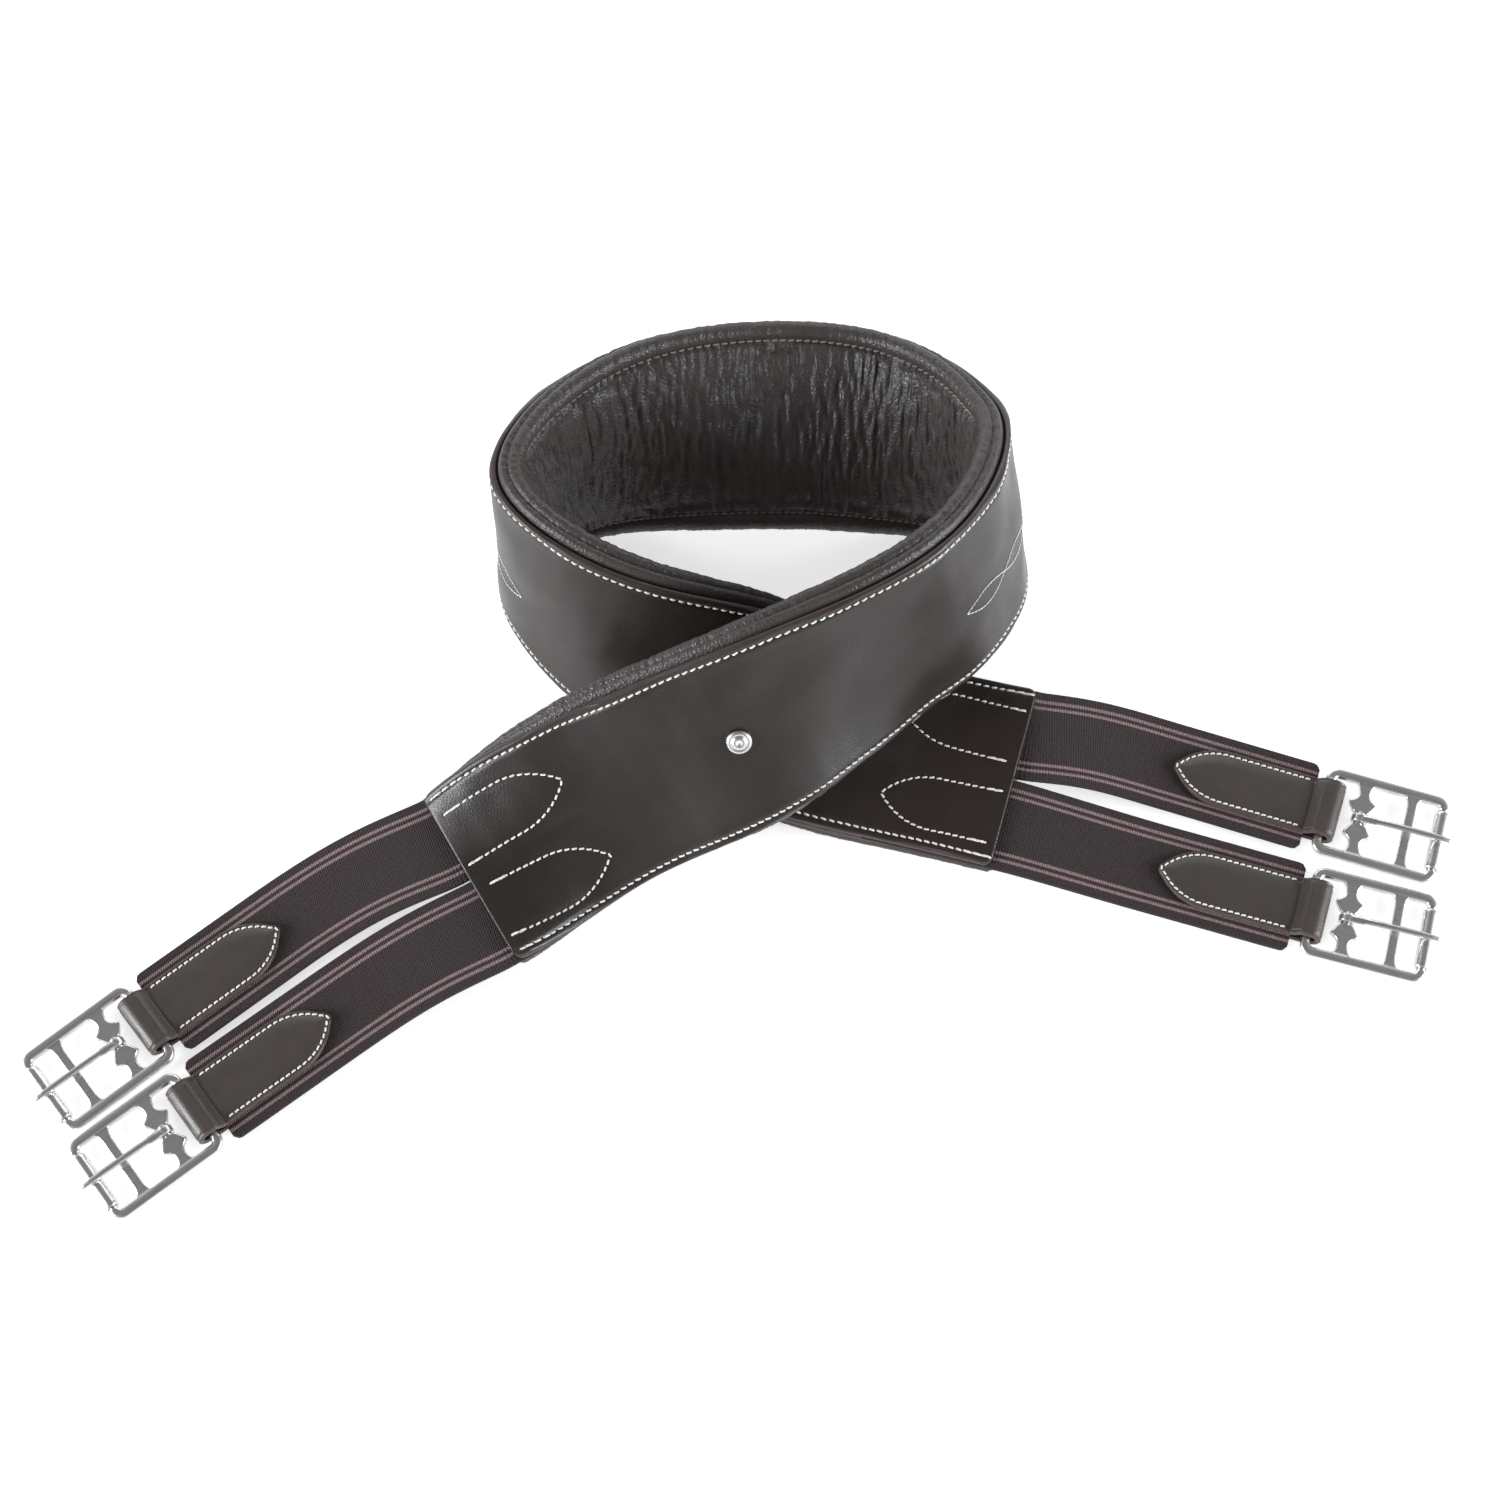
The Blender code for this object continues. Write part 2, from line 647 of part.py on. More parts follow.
def stud(looks, collection, tools):
    """Domed stud riveted through the cover and webbing, and the holes it needs."""
    under = LINING_TOP
    tail = under - 1.3 * MM
    cap = [
        (0, 2.4 * MM),
        (2.2 * MM, 2.2 * MM),
        (4.2 * MM, 1.4 * MM),
        (5.2 * MM, 0.9 * MM),
        (STUD_RADIUS, 0.6 * MM),
        (STUD_RADIUS, 0.35 * MM),
        (POST_RADIUS, 0.35 * MM),
        (POST_RADIUS, tail),
        (0, tail),
    ]
    post_hole = POST_RADIUS + 0.2 * MM
    washer = [
        (post_hole, under - 1 * MM),
        (4.5 * MM, under - 1 * MM),
        (4.5 * MM, under),
        (post_hole, under),
    ]
    for name, profile in (("stud_cap", cap), ("stud_washer", washer)):
        mesh = turned_mesh(name, profile, Vector((0, 0, 1)))
        made = mesh_object(name, mesh, looks["nickel"], collection)
        made.matrix_world = stud_matrix()
    drill = [(0, -8 * MM), (post_hole, -8 * MM), (post_hole, 4 * MM), (0, 4 * MM)]
    cutter = mesh_object("stud_drill", turned_mesh("drill", drill, Vector((0, 0, 1))), None, tools)
    cutter.matrix_world = stud_matrix()
    cutter.hide_render = True
    cutter.display_type = "WIRE"
    for name in ("outer_cover", "core_webbing"):
        hole = collection.objects[name].modifiers.new("stud_hole", "BOOLEAN")
        hole.operation = "DIFFERENCE"
        hole.solver = "EXACT"
        hole.object = cutter


def new_collection(name):
    made = bpy.data.collections.new(name)
    bpy.context.scene.collection.children.link(made)
    return made


def clear_scene():
    for item in list(bpy.data.objects):
        bpy.data.objects.remove(item)


def build():
    clear_scene()
    girth = new_collection("saddle_girth")
    tools = new_collection("shaping_tools")
    looks = {
        "leather": material("dark_brown_leather", (0.045, 0.036, 0.032), 0.45),
        "lining": material("soft_lining_leather", (0.028, 0.024, 0.022), 0.6),
        "webbing": material("nylon_webbing", (0.06, 0.055, 0.05), 0.8),
        "foam": material("grey_foam", (0.35, 0.35, 0.36), 0.9),
        "elastic": material("woven_elastic", (0.055, 0.038, 0.041), 0.85),
        "steel": material("satin_steel", (0.62, 0.62, 0.6), 0.3, 1.0),
        "nickel": material("bright_nickel", (0.75, 0.74, 0.72), 0.2, 1.0),
    }
    outer_cover(looks["leather"], girth)
    core_webbing(looks["webbing"], girth)
    band_layer("padded_lining", lining_outline(), 0.5 * MM, looks["lining"], girth)
    band_layer("foam_core", foam_outline(), 1 * MM, looks["foam"], girth)
    band_layer("upper_edge_roll", roll_outline(1), 1 * MM, looks["foam"], girth)
    band_layer("lower_edge_roll", roll_outline(-1), 1 * MM, looks["foam"], girth)
    stud(looks, girth, tools)
    meshes = {
        "tab": tab_mesh(),
        "buckle": buckle_mesh(tools),
        "tongue": tongue_mesh(tools),
        "roller": roller_mesh(),
    }
    for strap in STRAPS:
        strap_set(strap, meshes, looks, girth)


build()
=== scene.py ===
"""Saddle girth: finished leather, elastic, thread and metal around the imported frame.

Band pieces are drawn flat and then bent, as in the part: s runs along the band from its left
end, v across it towards its upper edge, and n out of the cover. Buckle pieces are drawn about
the rear bar of the frame, with x pointing away from the band and z up. Lengths are in metres.
"""

import math
from collections import namedtuple

import bpy
import numpy as np
from mathutils import Matrix, Vector


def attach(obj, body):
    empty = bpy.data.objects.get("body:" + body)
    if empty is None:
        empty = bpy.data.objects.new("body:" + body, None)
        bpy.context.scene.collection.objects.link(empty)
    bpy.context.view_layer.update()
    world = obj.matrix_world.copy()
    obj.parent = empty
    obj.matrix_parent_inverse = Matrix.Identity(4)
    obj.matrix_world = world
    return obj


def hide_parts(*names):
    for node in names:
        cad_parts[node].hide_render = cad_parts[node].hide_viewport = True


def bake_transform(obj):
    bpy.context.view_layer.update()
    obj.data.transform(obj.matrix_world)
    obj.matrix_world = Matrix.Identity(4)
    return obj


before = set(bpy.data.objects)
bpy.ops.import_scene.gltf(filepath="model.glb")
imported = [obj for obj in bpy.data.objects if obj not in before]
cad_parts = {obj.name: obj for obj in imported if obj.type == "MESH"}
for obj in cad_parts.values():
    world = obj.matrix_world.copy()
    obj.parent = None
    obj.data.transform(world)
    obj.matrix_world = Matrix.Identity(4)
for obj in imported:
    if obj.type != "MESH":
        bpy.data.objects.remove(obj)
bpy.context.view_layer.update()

MM = 0.001
SHARP_ANGLE = math.radians(50)

# Camera: it looks along +Y at the middle of the layout, from well above.
ELEVATION = math.radians(67)
CAMERA_DISTANCE = 1.3
LENS = 72.13

# Path of the band, as in the part: x, y, z of the cover's middle in mm, and tilt in degrees.
LAYOUT_CENTRE = (-0.65, -17.28)
CAMERA_TARGET = Vector((-LAYOUT_CENTRE[0] * MM, -LAYOUT_CENTRE[1] * MM, 0))
BAND_PATH = [
    (-117, -69, 26, 3),
    (-60, -40, 41, 42),
    (-3, -24, 67, 48),
    (55, 6, 76, 66),
    (102, 49, 71, 72),
    (111, 109, 51, 91),
    (59, 139, 35, 132),
    (-5, 140, 38, 140),
    (-69, 129, 42, 113),
    (-109, 83, 51, 89),
    (-71, 31, 53, 70),
    (-12, 8, 41, 44),
    (49, -4, 20, 8),
    (112, -21, 21, 4),
]

# Cover and the layers under it.
COVER_HALF = 41 * MM
COVER_THICK = 3 * MM
CORNER_RADIUS = 4 * MM
WEBBING_TOP = -3.3 * MM
STRAP_THICK = 2.2 * MM
SEAM_V = 37.5 * MM
STITCH_PITCH = 3.5 * MM

# Elastic straps, tabs and buckles.
ELASTIC_HALF = 20.5 * MM
ELASTIC_OFFSET = 20.8 * MM
POCKET_LENGTH = 57 * MM
TAB_HALF = 13.25 * MM
TAB_THICK = 2.6 * MM
TAB_LENGTH = 73 * MM
TAB_POINT = 22 * MM
TAB_SEAM = 2.2 * MM
FOLD_SLACK = 1.5 * MM
FOLD_RADIUS = 2.9 * MM
FOLD_OUTER = FOLD_RADIUS + TAB_THICK
ELASTIC_END = 6 * MM
FLAT_LENGTH = 66 * MM
FRAME_HALF = 20.5 * MM
CUSP_BAR_X = 15.4 * MM
STRAIGHT_BAR_X = 36 * MM
FRONT_BAR_X = 49.5 * MM
ROLLER_RADIUS = 3.3 * MM
LEAN = math.asin((FOLD_OUTER - ROLLER_RADIUS) / FRONT_BAR_X)

# Each strap: end and side of the band, place of its rear bar in mm, heading of the strap and
# further turn of its buckle in degrees, and how far the elastic humps on its way, in mm.
Strap = namedtuple("Strap", "name end side x y heading turn hump")
STRAPS = [
    Strap("left_rear", "left", 1, -249.6, -124.8, 218.2, 0, 1.2),
    Strap("left_front", "left", -1, -226.8, -162.5, 217.2, 0, 1),
    Strap("right_rear", "right", 1, 245, -30.2, -18, 2, 1),
    Strap("right_front", "right", -1, 236.2, -75.8, -16.8, 2.4, 0),
]
MOUTH_PULL = 0.45
STUD_S = 129 * MM


# ---------------------------------------------------------------- band path


def unit(vectors):
    return vectors / np.linalg.norm(vectors, axis=-1, keepdims=True)


def travelled(points):
    """Distance along a line of points, at each of them."""
    steps = np.linalg.norm(np.diff(points, axis=0), axis=1)
    return np.concatenate([[0], np.cumsum(steps)])


def natural_spline(knots, samples):
    """Points of a smooth curve through evenly numbered knots."""
    count = len(knots)
    system = np.eye(count)
    pull = np.zeros_like(knots)
    for i in range(1, count - 1):
        system[i, i - 1 : i + 2] = (1, 4, 1)
        pull[i] = 6 * (knots[i - 1] - 2 * knots[i] + knots[i + 1])
    bend = np.linalg.solve(system, pull)
    place = np.linspace(0, count - 1, samples)
    left = np.minimum(place.astype(int), count - 2)
    a = (left + 1 - place)[:, None]
    b = (place - left)[:, None]
    ends = a * knots[left] + b * knots[left + 1]
    curl = (a**3 - a) * bend[left] + (b**3 - b) * bend[left + 1]
    return ends + curl / 6


def band_table():
    """Distance along the band, then centre, forward and across directions there."""
    knots = np.array(BAND_PATH, float) * (MM, MM, MM, math.pi / 180)
    curve = natural_spline(knots, 1301)
    centre = curve[:, :3] - (LAYOUT_CENTRE[0] * MM, LAYOUT_CENTRE[1] * MM, 0)
    tilt = curve[:, 3:]
    forward = unit(np.gradient(centre, axis=0))
    level = unit(np.cross((0, 0, 1), forward))
    across = np.cos(tilt) * level + np.sin(tilt) * np.cross(forward, level)
    return travelled(centre), np.hstack([centre, forward, across])


DISTANCE, TABLE = band_table()
BAND_LENGTH = float(DISTANCE[-1])


def band_axes(s):
    """Centre, forward, across and outward directions of the band at each s."""
    inside = np.clip(s, 0, BAND_LENGTH)
    found = np.stack([np.interp(inside, DISTANCE, column) for column in TABLE.T], axis=-1)
    centre, forward, across = found[..., :3], unit(found[..., 3:6]), found[..., 6:]
    across = unit(across - forward * (across * forward).sum(-1, keepdims=True))
    centre = centre + forward * (s - inside)[..., None]
    return centre, forward, across, np.cross(forward, across)


def from_end(s):
    """Distance to the nearer end of the band."""
    return np.minimum(s, BAND_LENGTH - s)


def bent(s, v, n):
    """Points of flat band coordinates on the resting path."""
    s, v, n = np.broadcast_arrays(s, v, n)
    centre, _, across, outward = band_axes(s)
    return centre + across * v[..., None] + outward * n[..., None]


# ---------------------------------------------------------------- shaping helpers


def wander(s, v, along, over, seed):
    """Smooth field between about -1 and 1 whose features are along by over in size."""
    random = np.random.default_rng(seed)
    total = 0
    for _ in range(7):
        turn, phase = random.uniform(0, 2 * math.pi, 2)
        pace = random.uniform(0.6, 1.5)
        total = total + np.sin(
            2 * math.pi * pace * (math.cos(turn) * s / along + math.sin(turn) * v / over) + phase
        )
    return total / 3.2


def smooth_step(value, low, high):
    share = np.clip((value - low) / (high - low), 0, 1)
    return share * share * (3 - 2 * share)


def dip(distance, width):
    return np.exp(-((distance / width) ** 2))


def shade_smooth(mesh):
    mesh.shade_smooth()
    mesh.set_sharp_from_angle(angle=SHARP_ANGLE)


def grid_faces(index):
    """Four corners of each cell of a grid of numbered points."""
    quads = np.stack([index[:-1, :-1], index[:-1, 1:], index[1:, 1:], index[1:, :-1]], -1)
    return quads.reshape(-1, 4)


def inward(vertices, faces):
    """True if the faces of a closed skin point into it."""
    a, b, c, d = vertices[faces].transpose(1, 0, 2)
    return (a * (np.cross(b, c) + np.cross(c, d))).sum() < 0


def ring_surface(u, v):
    """Flat coordinates of rings of points, with each ring's first point again at its end."""
    surface = np.stack(np.broadcast_arrays(u, v), -1)
    return np.concatenate([surface, surface[:, :1]], axis=1)


def skin(name, points, surface=None, closed=True):
    """Mesh over a grid of points: one row per station, each row a ring if closed.

    Closed skins get a cap at each end. surface, made by ring_surface, gives the materials
    the flat coordinates of the points.
    """
    rows, columns = points.shape[:2]
    index = np.arange(rows * columns).reshape(rows, columns)
    if closed:
        index = np.hstack([index, index[:, :1]])
    faces = grid_faces(index)
    vertices = points.reshape(-1, 3)
    turn = -1 if closed and inward(vertices, faces) else 1
    polygons = faces[:, ::turn].tolist()
    if closed:
        polygons += [index[0, :-1][::-turn].tolist(), index[-1, :-1][::turn].tolist()]
    mesh = bpy.data.meshes.new(name)
    mesh.from_pydata(vertices.tolist(), [], polygons)
    if surface is not None:
        layer = mesh.uv_layers.new(name="surface")
        own = np.arange(rows * (columns + 1)).reshape(rows, -1)
        order = [grid_faces(own)[:, ::turn].ravel(), own[0, :-1][::-turn], own[-1, :-1][::turn]]
        flat = surface.reshape(-1, 2)[np.concatenate(order)]
        layer.data.foreach_set("uv", flat.astype(np.float32).ravel())
    mesh.validate()
    shade_smooth(mesh)
    return mesh


def ring_skin(name, points):
    """Skin over rings that also close on themselves from the last to the first."""
    rows, columns = points.shape[:2]
    index = np.arange(rows * columns).reshape(rows, columns)
    faces = grid_faces(np.pad(index, (0, 1), "wrap"))
    vertices = points.reshape(-1, 3)
    if inward(vertices, faces):
        faces = faces[:, ::-1]
    mesh = bpy.data.meshes.new(name)
    mesh.from_pydata(vertices.tolist(), [], faces.tolist())
    shade_smooth(mesh)
    return mesh


def piece(name, mesh, look):
    made = bpy.data.objects.new(name, mesh)
    mesh.materials.clear()
    mesh.materials.append(look)
    bpy.context.scene.collection.objects.link(made)
    return made


def fitted(name, mesh, look, slot, body, *nodes, place=None):
    """Piece that rides on a body, in place of the CAD nodes that it stands for."""
    made = piece(name, mesh, look)
    if place is not None:
        made.matrix_world = place
    if nodes:
        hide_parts(*nodes)
    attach(made, body)
    return made


def remeshed(name, meshes, voxel, rounds):
    """One skin over several overlapping solids, with its inner corners filled smoothly."""
    vertices, polygons = [], []
    for mesh in meshes:
        offset = len(vertices)
        vertices += [vertex.co[:] for vertex in mesh.vertices]
        polygons += [[offset + i for i in face.vertices] for face in mesh.polygons]
    rough = bpy.data.meshes.new(name)
    rough.from_pydata(vertices, [], polygons)
    holder = bpy.data.objects.new(name, rough)
    bpy.context.scene.collection.objects.link(holder)
    remesh = holder.modifiers.new("skin", "REMESH")
    remesh.mode = "VOXEL"
    remesh.voxel_size = voxel
    ease = holder.modifiers.new("ease", "SMOOTH")
    ease.factor = 0.5
    ease.iterations = rounds
    graph = bpy.context.evaluated_depsgraph_get()
    whole = bpy.data.meshes.new_from_object(holder.evaluated_get(graph))
    bpy.data.objects.remove(holder)
    bpy.data.meshes.remove(rough)
    whole.name = name
    whole.shade_smooth()
    return whole


def turned(profile, steps, axis="Y"):
    """Closed profile of (radius, height) points turned round an axis."""
    radius, height = np.array(profile, float).T
    angle = np.linspace(0, 2 * math.pi, steps, endpoint=False)[:, None]
    side, up = radius * np.cos(angle), radius * np.sin(angle)
    level = np.broadcast_to(height, side.shape)
    return np.stack([side, level, up] if axis == "Y" else [side, up, level], -1)


# ---------------------------------------------------------------- materials


def add(tree, kind, inputs, **settings):
    """New shader node with some of its inputs set or linked."""
    made = tree.nodes.new(kind)
    for key, value in settings.items():
        setattr(made, key, value)
    for key, value in inputs.items():
        if isinstance(value, bpy.types.NodeSocket):
            tree.links.new(value, made.inputs[key])
        else:
            made.inputs[key].default_value = value
    return made


def math_node(tree, operation, *values):
    inputs = dict(enumerate(values))
    return add(tree, "ShaderNodeMath", inputs, operation=operation).outputs[0]


def plus(tree, value, other, share):
    """value + share * other"""
    return math_node(tree, "ADD", value, math_node(tree, "MULTIPLY", other, share))


def wave(tree, place, pitch):
    """Sine of a place, with one whole wave in each pitch."""
    return math_node(tree, "SINE", math_node(tree, "MULTIPLY", place, 2 * math.pi / pitch))


def blend_colour(tree, share, first, second):
    inputs = {"Factor": share, 6: first, 7: second}
    return add(tree, "ShaderNodeMix", inputs, data_type="RGBA").outputs[2]


def spread(tree, value, low, high, start, end):
    inputs = {"Value": value, "From Min": low, "From Max": high, "To Min": start, "To Max": end}
    return add(tree, "ShaderNodeMapRange", inputs).outputs["Result"]


def noise(tree, where, scale, detail=3.0):
    inputs = {"Vector": where, "Scale": scale, "Detail": detail}
    return add(tree, "ShaderNodeTexNoise", inputs).outputs["Fac"]


def stretched(tree, where, scale):
    return add(tree, "ShaderNodeMapping", {"Vector": where, "Scale": scale}).outputs["Vector"]


def bump(tree, shader, height, distance, strength=1.0):
    inputs = {"Height": height, "Distance": distance, "Strength": strength}
    made = add(tree, "ShaderNodeBump", inputs)
    tree.links.new(made.outputs["Normal"], shader.inputs["Normal"])


def dress(tree, shader, base, rough):
    tree.links.new(base, shader.inputs["Base Color"])
    tree.links.new(rough, shader.inputs["Roughness"])


def surface_axes(tree, places):
    """Flat coordinates of a piece: along it, then over it."""
    flat = add(tree, "ShaderNodeSeparateXYZ", {"Vector": places.outputs["UV"]})
    return flat.outputs["X"], flat.outputs["Y"]


def new_look(name):
    look = bpy.data.materials.new(name)
    look.use_nodes = True
    tree = look.node_tree
    shader = tree.nodes["Principled BSDF"]
    places = tree.nodes.new("ShaderNodeTexCoord")
    return look, tree, shader, places


def colour(*values):
    return (*values, 1)


def leather_look(name, base, patch, grain, roughness, relief, rim=0):
    """Grained leather with warmer patches, pores, an uneven polish and a worn rim."""
    look, tree, shader, places = new_look(name)
    where = places.outputs["Object"]
    inputs = {"Vector": where, "Scale": grain}
    cells = add(tree, "ShaderNodeTexVoronoi", inputs, feature="DISTANCE_TO_EDGE")
    pebble = spread(tree, cells.outputs["Distance"], 0, 0.32, 0, 1)
    fine = noise(tree, where, grain * 2.3, 4)
    broad = noise(tree, where, 17, 2)
    mottled = noise(tree, where, 160, 5)
    warm = spread(tree, broad, 0.5, 0.68, 0, 0.85)
    skin_colour = blend_colour(tree, warm, base, patch)
    dark = colour(*[channel * 0.72 for channel in base[:3]])
    shade = spread(tree, mottled, 0.35, 0.65, 0.35, 0)
    skin_colour = blend_colour(tree, shade, skin_colour, dark)
    if rim:
        _, over = surface_axes(tree, places)
        edge = math_node(tree, "ABSOLUTE", over)
        worn = spread(tree, edge, rim - 1.3 * MM, rim + 0.3 * MM, 0, 1)
        worn = math_node(tree, "MULTIPLY", worn, spread(tree, mottled, 0.3, 0.7, 0.25, 0.8))
        pale = colour(*[channel * 1.9 + 0.012 for channel in patch[:3]])
        skin_colour = blend_colour(tree, worn, skin_colour, pale)
    polish = noise(tree, where, 35, 3)
    rough = spread(tree, polish, 0.3, 0.7, roughness - 0.07, roughness + 0.07)
    rough = math_node(tree, "ADD", rough, spread(tree, pebble, 0, 1, 0.06, 0))
    dress(tree, shader, skin_colour, rough)
    bump(tree, shader, plus(tree, pebble, fine, 0.8), relief)
    return look


def elastic_look():
    """Ribbed elastic webbing: dark weave with two mauve stripes near each edge, and painted shade in
    the low parts of the weave.
    """
    look, tree, shader, places = new_look("woven_elastic")
    along, over = surface_axes(tree, places)
    edge = math_node(tree, "SUBTRACT", ELASTIC_HALF, math_node(tree, "ABSOLUTE", over))
    share = math_node(tree, "DIVIDE", edge, ELASTIC_HALF)
    ramp = add(tree, "ShaderNodeValToRGB", {"Fac": share})
    stripes = ramp.color_ramp.elements
    stops = [(0.185, 0), (0.2, 1), (0.25, 1), (0.265, 0)]
    stops += [(0.33, 0), (0.345, 1), (0.395, 1), (0.41, 0), (1.0, 0)]
    stripes.remove(stripes[0])
    stripes[0].position = 0
    for place, level in stops:
        stripes.new(place).color = (level, level, level, 1)
    stripes[0].color = (0, 0, 0, 1)
    rib = wave(tree, over, 1.3 * MM)
    weft = wave(tree, along, 1.1 * MM)
    weave = plus(tree, math_node(tree, "MULTIPLY", rib, weft), weft, 0.6)
    threads = stretched(tree, places.outputs["UV"], (1, 6, 1))
    fuzz = noise(tree, threads, 900, 3)
    broad = noise(tree, places.outputs["UV"], 30, 2)
    share = spread(tree, broad, 0.4, 0.65, 0, 1)
    ground = blend_colour(tree, share, colour(0.052, 0.038, 0.036), colour(0.056, 0.036, 0.036))
    woven = blend_colour(tree, ramp.outputs["Color"], ground, colour(0.42, 0.29, 0.3))
    # Painted shade: where the weave and its fuzz are low, the colour is darkened towards near black.
    depth = spread(tree, weave, -1.2, 1.2, 0.6, 0)
    depth = math_node(tree, "ADD", depth, spread(tree, fuzz, 0.38, 0.62, 0.35, -0.1))
    woven = blend_colour(tree, depth, woven, colour(0.012, 0.008, 0.009))
    dress(tree, shader, woven, spread(tree, fuzz, 0.3, 0.7, 0.8, 0.95))
    shader.inputs["Specular IOR Level"].default_value = 0.25
    shader.inputs["Sheen Weight"].default_value = 0.12
    shader.inputs["Sheen Roughness"].default_value = 0.5
    bump(tree, shader, plus(tree, weave, fuzz, 1.2), 0.22 * MM, 0.9)
    return look


def thread_look(name, pale, deep):
    """Waxed twisted thread, running along each stitch, with painted shade in the grooves of the twist.
    """
    look, tree, shader, places = new_look(name)
    along, over = surface_axes(tree, places)
    ply = wave(tree, plus(tree, along, over, 0.7), 0.55 * MM)
    soil = noise(tree, places.outputs["Object"], 260, 3)
    # Painted shade: the thread turns to the deep colour in the grooves between its plies; the soil
    # noise adds random grime.
    share = spread(tree, ply, -1, 1, 0.5, 0)
    share = math_node(tree, "ADD", share, spread(tree, soil, 0.4, 0.7, 0, 0.3))
    base = blend_colour(tree, share, pale, deep)
    dress(tree, shader, base, spread(tree, soil, 0.3, 0.7, 0.6, 0.8))
    bump(tree, shader, ply, 0.08 * MM, 0.7)
    return look


def metal_look(name, base, roughness, brushed):
    """Satin metal: fine scratches along the piece, cloudy polish and small dents."""
    look, tree, shader, places = new_look(name)
    where = places.outputs["Object"]
    lines = noise(tree, stretched(tree, where, (120, 1400, 1400)), 1.0, 4)
    cloud = noise(tree, where, 90, 3)
    dull = colour(*[channel * 0.72 for channel in base[:3]])
    share = spread(tree, cloud, 0.35, 0.7, 0, 0.5)
    rough = spread(tree, lines, 0.3, 0.7, roughness - brushed, roughness + brushed)
    rough = math_node(tree, "ADD", rough, spread(tree, cloud, 0.3, 0.7, -0.03, 0.05))
    dress(tree, shader, blend_colour(tree, share, base, dull), rough)
    shader.inputs["Metallic"].default_value = 1.0
    pits = noise(tree, where, 420, 4)
    bump(tree, shader, math_node(tree, "ADD", lines, pits), 0.004 * MM, 0.4)
    return look


def webbing_look():
    """Plain woven core strap, with painted shade at the low points of its weave."""
    look, tree, shader, places = new_look("core_weave")
    along, over = surface_axes(tree, places)
    weave = math_node(tree, "MULTIPLY", wave(tree, along, 1.6 * MM), wave(tree, over, 1.6 * MM))
    # Painted shade: the low points of the weave are darker.
    share = spread(tree, weave, -1, 1, 0, 1)
    cloth = blend_colour(tree, share, colour(0.02, 0.018, 0.016), colour(0.06, 0.054, 0.05))
    dress(tree, shader, cloth, spread(tree, weave, -1, 1, 0.9, 0.75))
    bump(tree, shader, weave, 0.2 * MM)
    return look


def floor_look():
    """Pale matt table that is lit softly from below, so that shadows stay faint."""
    look, tree, shader, places = new_look("pale_floor")
    cloud = noise(tree, places.outputs["Object"], 3, 2)
    pale = blend_colour(tree, cloud, colour(0.8, 0.8, 0.8), colour(0.78, 0.78, 0.78))
    tree.links.new(pale, shader.inputs["Base Color"])
    shader.inputs["Roughness"].default_value = 0.9
    shader.inputs["Specular IOR Level"].default_value = 0.1
    shader.inputs["Emission Color"].default_value = colour(1, 1, 1)
    shader.inputs["Emission Strength"].default_value = 0.62
    return look


COVER_LEATHER = leather_look(
    "dark_brown_leather",
    colour(0.0215, 0.0165, 0.014),
    colour(0.026, 0.0135, 0.012),
    780,
    0.32,
    0.03 * MM,
    rim=40.4 * MM,
)
TAB_LEATHER = leather_look(
    "tab_leather",
    colour(0.056, 0.046, 0.039),
    colour(0.056, 0.037, 0.032),
    700,
    0.33,
    0.035 * MM,
    rim=12.9 * MM,
)
LINING_LEATHER = leather_look(
    "soft_lining_leather",
    colour(0.05, 0.042, 0.038),
    colour(0.055, 0.039, 0.035),
    520,
    0.37,
    0.13 * MM,
)
ELASTIC_WEAVE = elastic_look()
THREAD = thread_look("cream_thread", colour(0.92, 0.9, 0.83), colour(0.6, 0.57, 0.49))
LINING_THREAD = thread_look("brown_thread", colour(0.34, 0.32, 0.29), colour(0.12, 0.11, 0.1))
STEEL = metal_look("satin_steel", colour(0.74, 0.74, 0.73), 0.27, 0.03)
NICKEL = metal_look("bright_nickel", colour(0.78, 0.77, 0.75), 0.3, 0.03)
CORE_WEAVE = webbing_look()


# ---------------------------------------------------------------- stitches


def stitches(centres, ways, normals, length, radius, slant=0.0, lift=0.0):
    """Arrays of points and flat coordinates for a row of stitches that dive in at both ends.

    Each stitch is a short arched thread on the surface, turned by slant within it.
    """
    stations = np.array([-1, -0.93, -0.75, -0.4, 0, 0.4, 0.75, 0.93, 1])
    sides = np.linspace(0, 2 * math.pi, 8, endpoint=False)
    thick = radius * np.array([0.25, 0.62, 0.9, 1, 1, 1, 0.9, 0.62, 0.25])
    rise = lift + radius * (0.55 - 1.5 * stations**4)
    over = np.cross(normals, ways)
    turned_way = ways * math.cos(slant) + over * math.sin(slant)
    turned_over = np.cross(normals, turned_way)
    along = length / 2 * stations
    points = centres[:, None, None] + turned_way[:, None, None] * along[:, None, None]
    points = points + turned_over[:, None, None] * (thick[:, None] * np.cos(sides))[..., None]
    up = rise[:, None] + 0.85 * thick[:, None] * np.sin(sides)
    points = points + normals[:, None, None] * up[..., None]
    u = np.broadcast_to(along[:, None], points.shape[:3])
    v = np.broadcast_to(radius * sides, points.shape[:3])
    return points, np.stack([u, v], -1)


